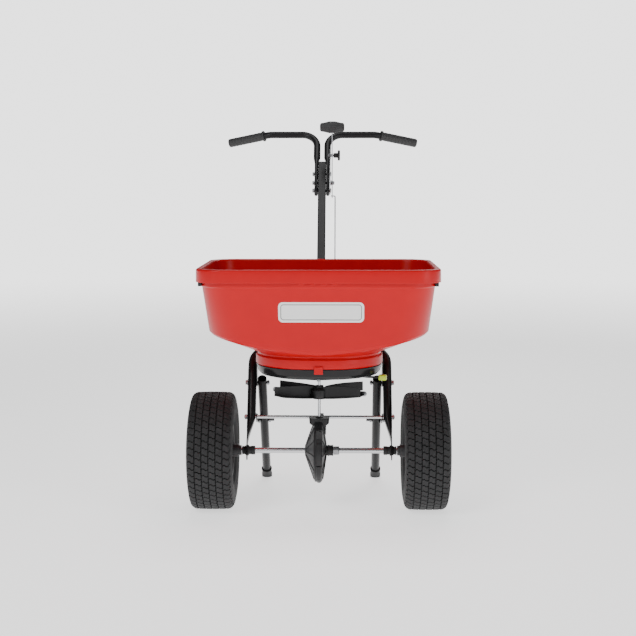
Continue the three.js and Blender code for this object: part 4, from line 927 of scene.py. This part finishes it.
def make_gearbox():
    """Two moulded halves with radial ribs, and a stepped rib round the joint."""
    profile = [(16, -40), (19, -37), (40, -29), (82, -14.5), (88, -11), (88, -2.15), (8.4, -2.15),
               (8.4, -40)]
    left = [lathe_x(profile, 0, 0, AXLE_Z, 1, 96, 1.2)]
    profile = [(88, -1.85), (88, 6.5), (83, 9.5), (52, 13.5), (24, 17.5), (14.7, 18.5), (14.7, 39),
               (8.4, 39), (8.4, -1.85)]
    right = [lathe_x(profile, 0, 0, AXLE_Z, 1, 96, 1.2)]
    collar = [(8.4, 24), (16.2, 24), (16.2, 27), (15, 28), (15, 36), (16, 37), (16, 39), (8.4, 39)]
    right.append(lathe_x(collar, 0, 0, AXLE_Z, 1, 64, 0.5))
    middle = at(0, 0, AXLE_Z)
    for i in range(CASE_RIBS):
        turn = Matrix.Rotation(i / CASE_RIBS * math.tau, 4, "X")
        for shapes, rib in ((left, [(20, -38), (84, -15.5), (84, -12), (20, -30)]),
                            (right, [(18, 21), (82, 11.5), (82, 8), (18, 14)])):
            rings = [[middle + turn @ (Vector((x, side, r)) * MM) for r, x in rib]
                     for side in (-1.4, 1.4)]
            shapes.append(loft(rings))
    levels = ((46, 19, 19, 0.8), (66, 19.5, 19.5, 0.75), (72, 20, 20, 0.7), (77, 26, 21, 0.5),
              (79, 27.5, 21.8, 0.45), (92, 28.5, 22, 0.45), (94, 27.6, 21.4, 0.5))
    neck = [section(at(0, 0, AXLE_Z + z), Vector((a * MM, 0, 0)), Vector((0, b * MM, 0)), power, 48)
            for z, a, b, power in levels]
    right.append(loft(neck))
    bands = ((-78, -52, 89, 91), (-50, -18, 90, 92), (-16, 22, 90.5, 92), (24, 44, 88, 90))
    for low, high, inner, outer in bands:
        rings = []
        for k in range(9):
            angle = math.radians(low + (high - low) * k / 8)
            c, s = math.cos(angle), math.sin(angle)
            half = 7.6 - 2.4 * max(0, -math.sin(angle)) ** 2
            outline = ((-half, inner - 14), (half, inner - 14), (half, inner), (half - 1.6, outer),
                       (1.6 - half, outer), (-half, inner))
            rings.append([at(x - 0.5, -r * c, AXLE_Z + r * s) for x, r in outline])
        right.append(loft(rings))
    web = ((-76, 205), (-76, 232), (-20, 238), (-20, 200))
    right.append(loft([[at(x, y, z) for y, z in web] for x in (-8.5, 7.5)]))
    outline = []
    for end, start in (((strut_y(TIE_Z), TIE_Z), 0), ((10, 245), 180)):
        for k in range(9):
            angle = math.radians(start + 23 - 90 + 180 * k / 8)
            outline.append((end[0] + 11 * math.cos(angle), end[1] + 11 * math.sin(angle)))
    right.append(loft([[at(x, y, z) for y, z in outline] for x in (0, 12)]))
    for y in (-CASE_SCREW_Y, CASE_SCREW_Y):
        for shapes, x in ((left, (-15, -12.4)), (right, (8, 11.4))):
            boss = [(7.6, x[0]), (9.4, x[0]), (9.4, x[1]), (7.6, x[1])]
            shapes.append(lathe_x(boss, 0, y, CASE_SCREW_Z, 1, 32, 0.4))
    for name, shapes in (("left", left), ("right", right)):
        piece("gearcase_" + name, merge(*shapes), "black_plastic", "frame", ["gearbox_" + name],
              bevel=0.4, angle=36)
    for name, y in (("front", -CASE_SCREW_Y), ("rear", CASE_SCREW_Y)):
        shape = screw(at(-17, y, CASE_SCREW_Z), at(12, y, CASE_SCREW_Z), 2, 4.2, 3.4, 0.7)
        piece("case_screw_" + name, shape, "zinc_plate", "frame", ["gearbox_screw_" + name])
    bush = [(4.2, 227), (8.1, 227), (8.1, 259.3), (10.4, 259.3), (11, 260), (11, 261.6),
            (10.4, 262), (4.2, 262)]
    piece("spindle_bush", lathe(bush, UPRIGHT, 40, 0.4), "black_plastic", "frame", ["shaft_bushing"])


# ------------------------------------------------------------------- floor and lights
FLOOR_CORNERS = ((-30, -30, 0), (30, -30, 0), (30, 60, 0), (-30, 60, 0))
FLOOR_GLOW = (1.15, 2.47)  # near the spreader, and at the horizon
GLOW_REACH = (1.5, 9.0)  # metres from the spreader, between the two
ROOM_LIGHT = 0.14  # what the room gives the object
ROOM_SEEN = 2.6  # how bright the room looks
LIGHT_TARGET = at(0, 0, 500)
LIGHTS = (
    ("key", at(-1600, -2600, 2300), (1.4, 1.4), 48),
    ("fill", at(2300, -1800, 1300), (0.9, 2.2), 22),
    ("top", at(0, 200, 3000), (1.6, 1.2), 24),
    ("back", at(400, 2800, 2000), (2.0, 1.0), 20))
CAMERA_PLACE = at(51.7, -3500, 915)
CAMERA_TURN = (math.radians(83.87), 0, math.radians(0.905))
CAMERA_LENS = 71.7


def make_stage():
    """A pale paper floor that glows up to the white of the room, which looks brighter than it lights."""
    mesh = bpy.data.meshes.new("floor")
    mesh.from_pydata(FLOOR_CORNERS, [], [(0, 1, 2, 3)])
    floor = bpy.data.objects.new("floor", mesh)
    bpy.context.scene.collection.objects.link(floor)
    paper = surface("floor_paper", (0.95, 0.95, 0.95), 0.7, grain=30, bump=0.01, mottle=0.01)
    sheet = paper.node_tree
    shader = sheet.nodes["Principled BSDF"]
    shader.inputs["Emission Color"].default_value = (1, 1, 1, 1)
    spot = sheet.nodes.new("ShaderNodeVectorMath")
    spot.operation = "LENGTH"
    glow = sheet.nodes.new("ShaderNodeMapRange")
    glow.interpolation_type = "SMOOTHSTEP"
    for socket, value in zip(("From Min", "From Max", "To Min", "To Max"), GLOW_REACH + FLOOR_GLOW):
        glow.inputs[socket].default_value = value
    sheet.links.new(sheet.nodes["Texture Coordinate"].outputs["Object"], spot.inputs[0])
    sheet.links.new(spot.outputs["Value"], glow.inputs["Value"])
    sheet.links.new(glow.outputs["Result"], shader.inputs["Emission Strength"])
    mesh.materials.append(paper)
    world = bpy.data.worlds.new("studio")
    world.use_nodes = True
    tree = world.node_tree
    background = tree.nodes["Background"]
    background.inputs["Color"].default_value = (1, 1, 1, 1)
    ray = tree.nodes.new("ShaderNodeLightPath")
    strength = tree.nodes.new("ShaderNodeMapRange")
    strength.inputs["To Min"].default_value = ROOM_LIGHT
    strength.inputs["To Max"].default_value = ROOM_SEEN
    tree.links.new(ray.outputs["Is Camera Ray"], strength.inputs["Value"])
    tree.links.new(strength.outputs["Result"], background.inputs["Strength"])
    bpy.context.scene.world = world


def soft_light(name, place, size, power):
    data = bpy.data.lights.new(name, "AREA")
    data.shape = "RECTANGLE"
    data.size = size[0]
    data.size_y = size[1]
    data.energy = power
    light = bpy.data.objects.new(name, data)
    light.location = place
    light.rotation_euler = (LIGHT_TARGET - place).to_track_quat("-Z", "Y").to_euler()
    bpy.context.scene.collection.objects.link(light)


def make_camera():
    data = bpy.data.cameras.new("camera")
    data.lens = CAMERA_LENS
    data.sensor_width = 36
    camera = bpy.data.objects.new("camera", data)
    camera.location = CAMERA_PLACE
    camera.rotation_euler = CAMERA_TURN
    bpy.context.scene.collection.objects.link(camera)
    bpy.context.scene.camera = camera


carried_nodes()
make_running_gear()
make_hoop()
make_legs()
make_tie_rod()
make_post()
make_handlebars()
make_control()
make_hopper()
make_label()
make_tray()
make_diffuser()
make_impeller()
make_gearbox()
make_stage()
for light in LIGHTS:
    soft_light(*light)
make_camera()
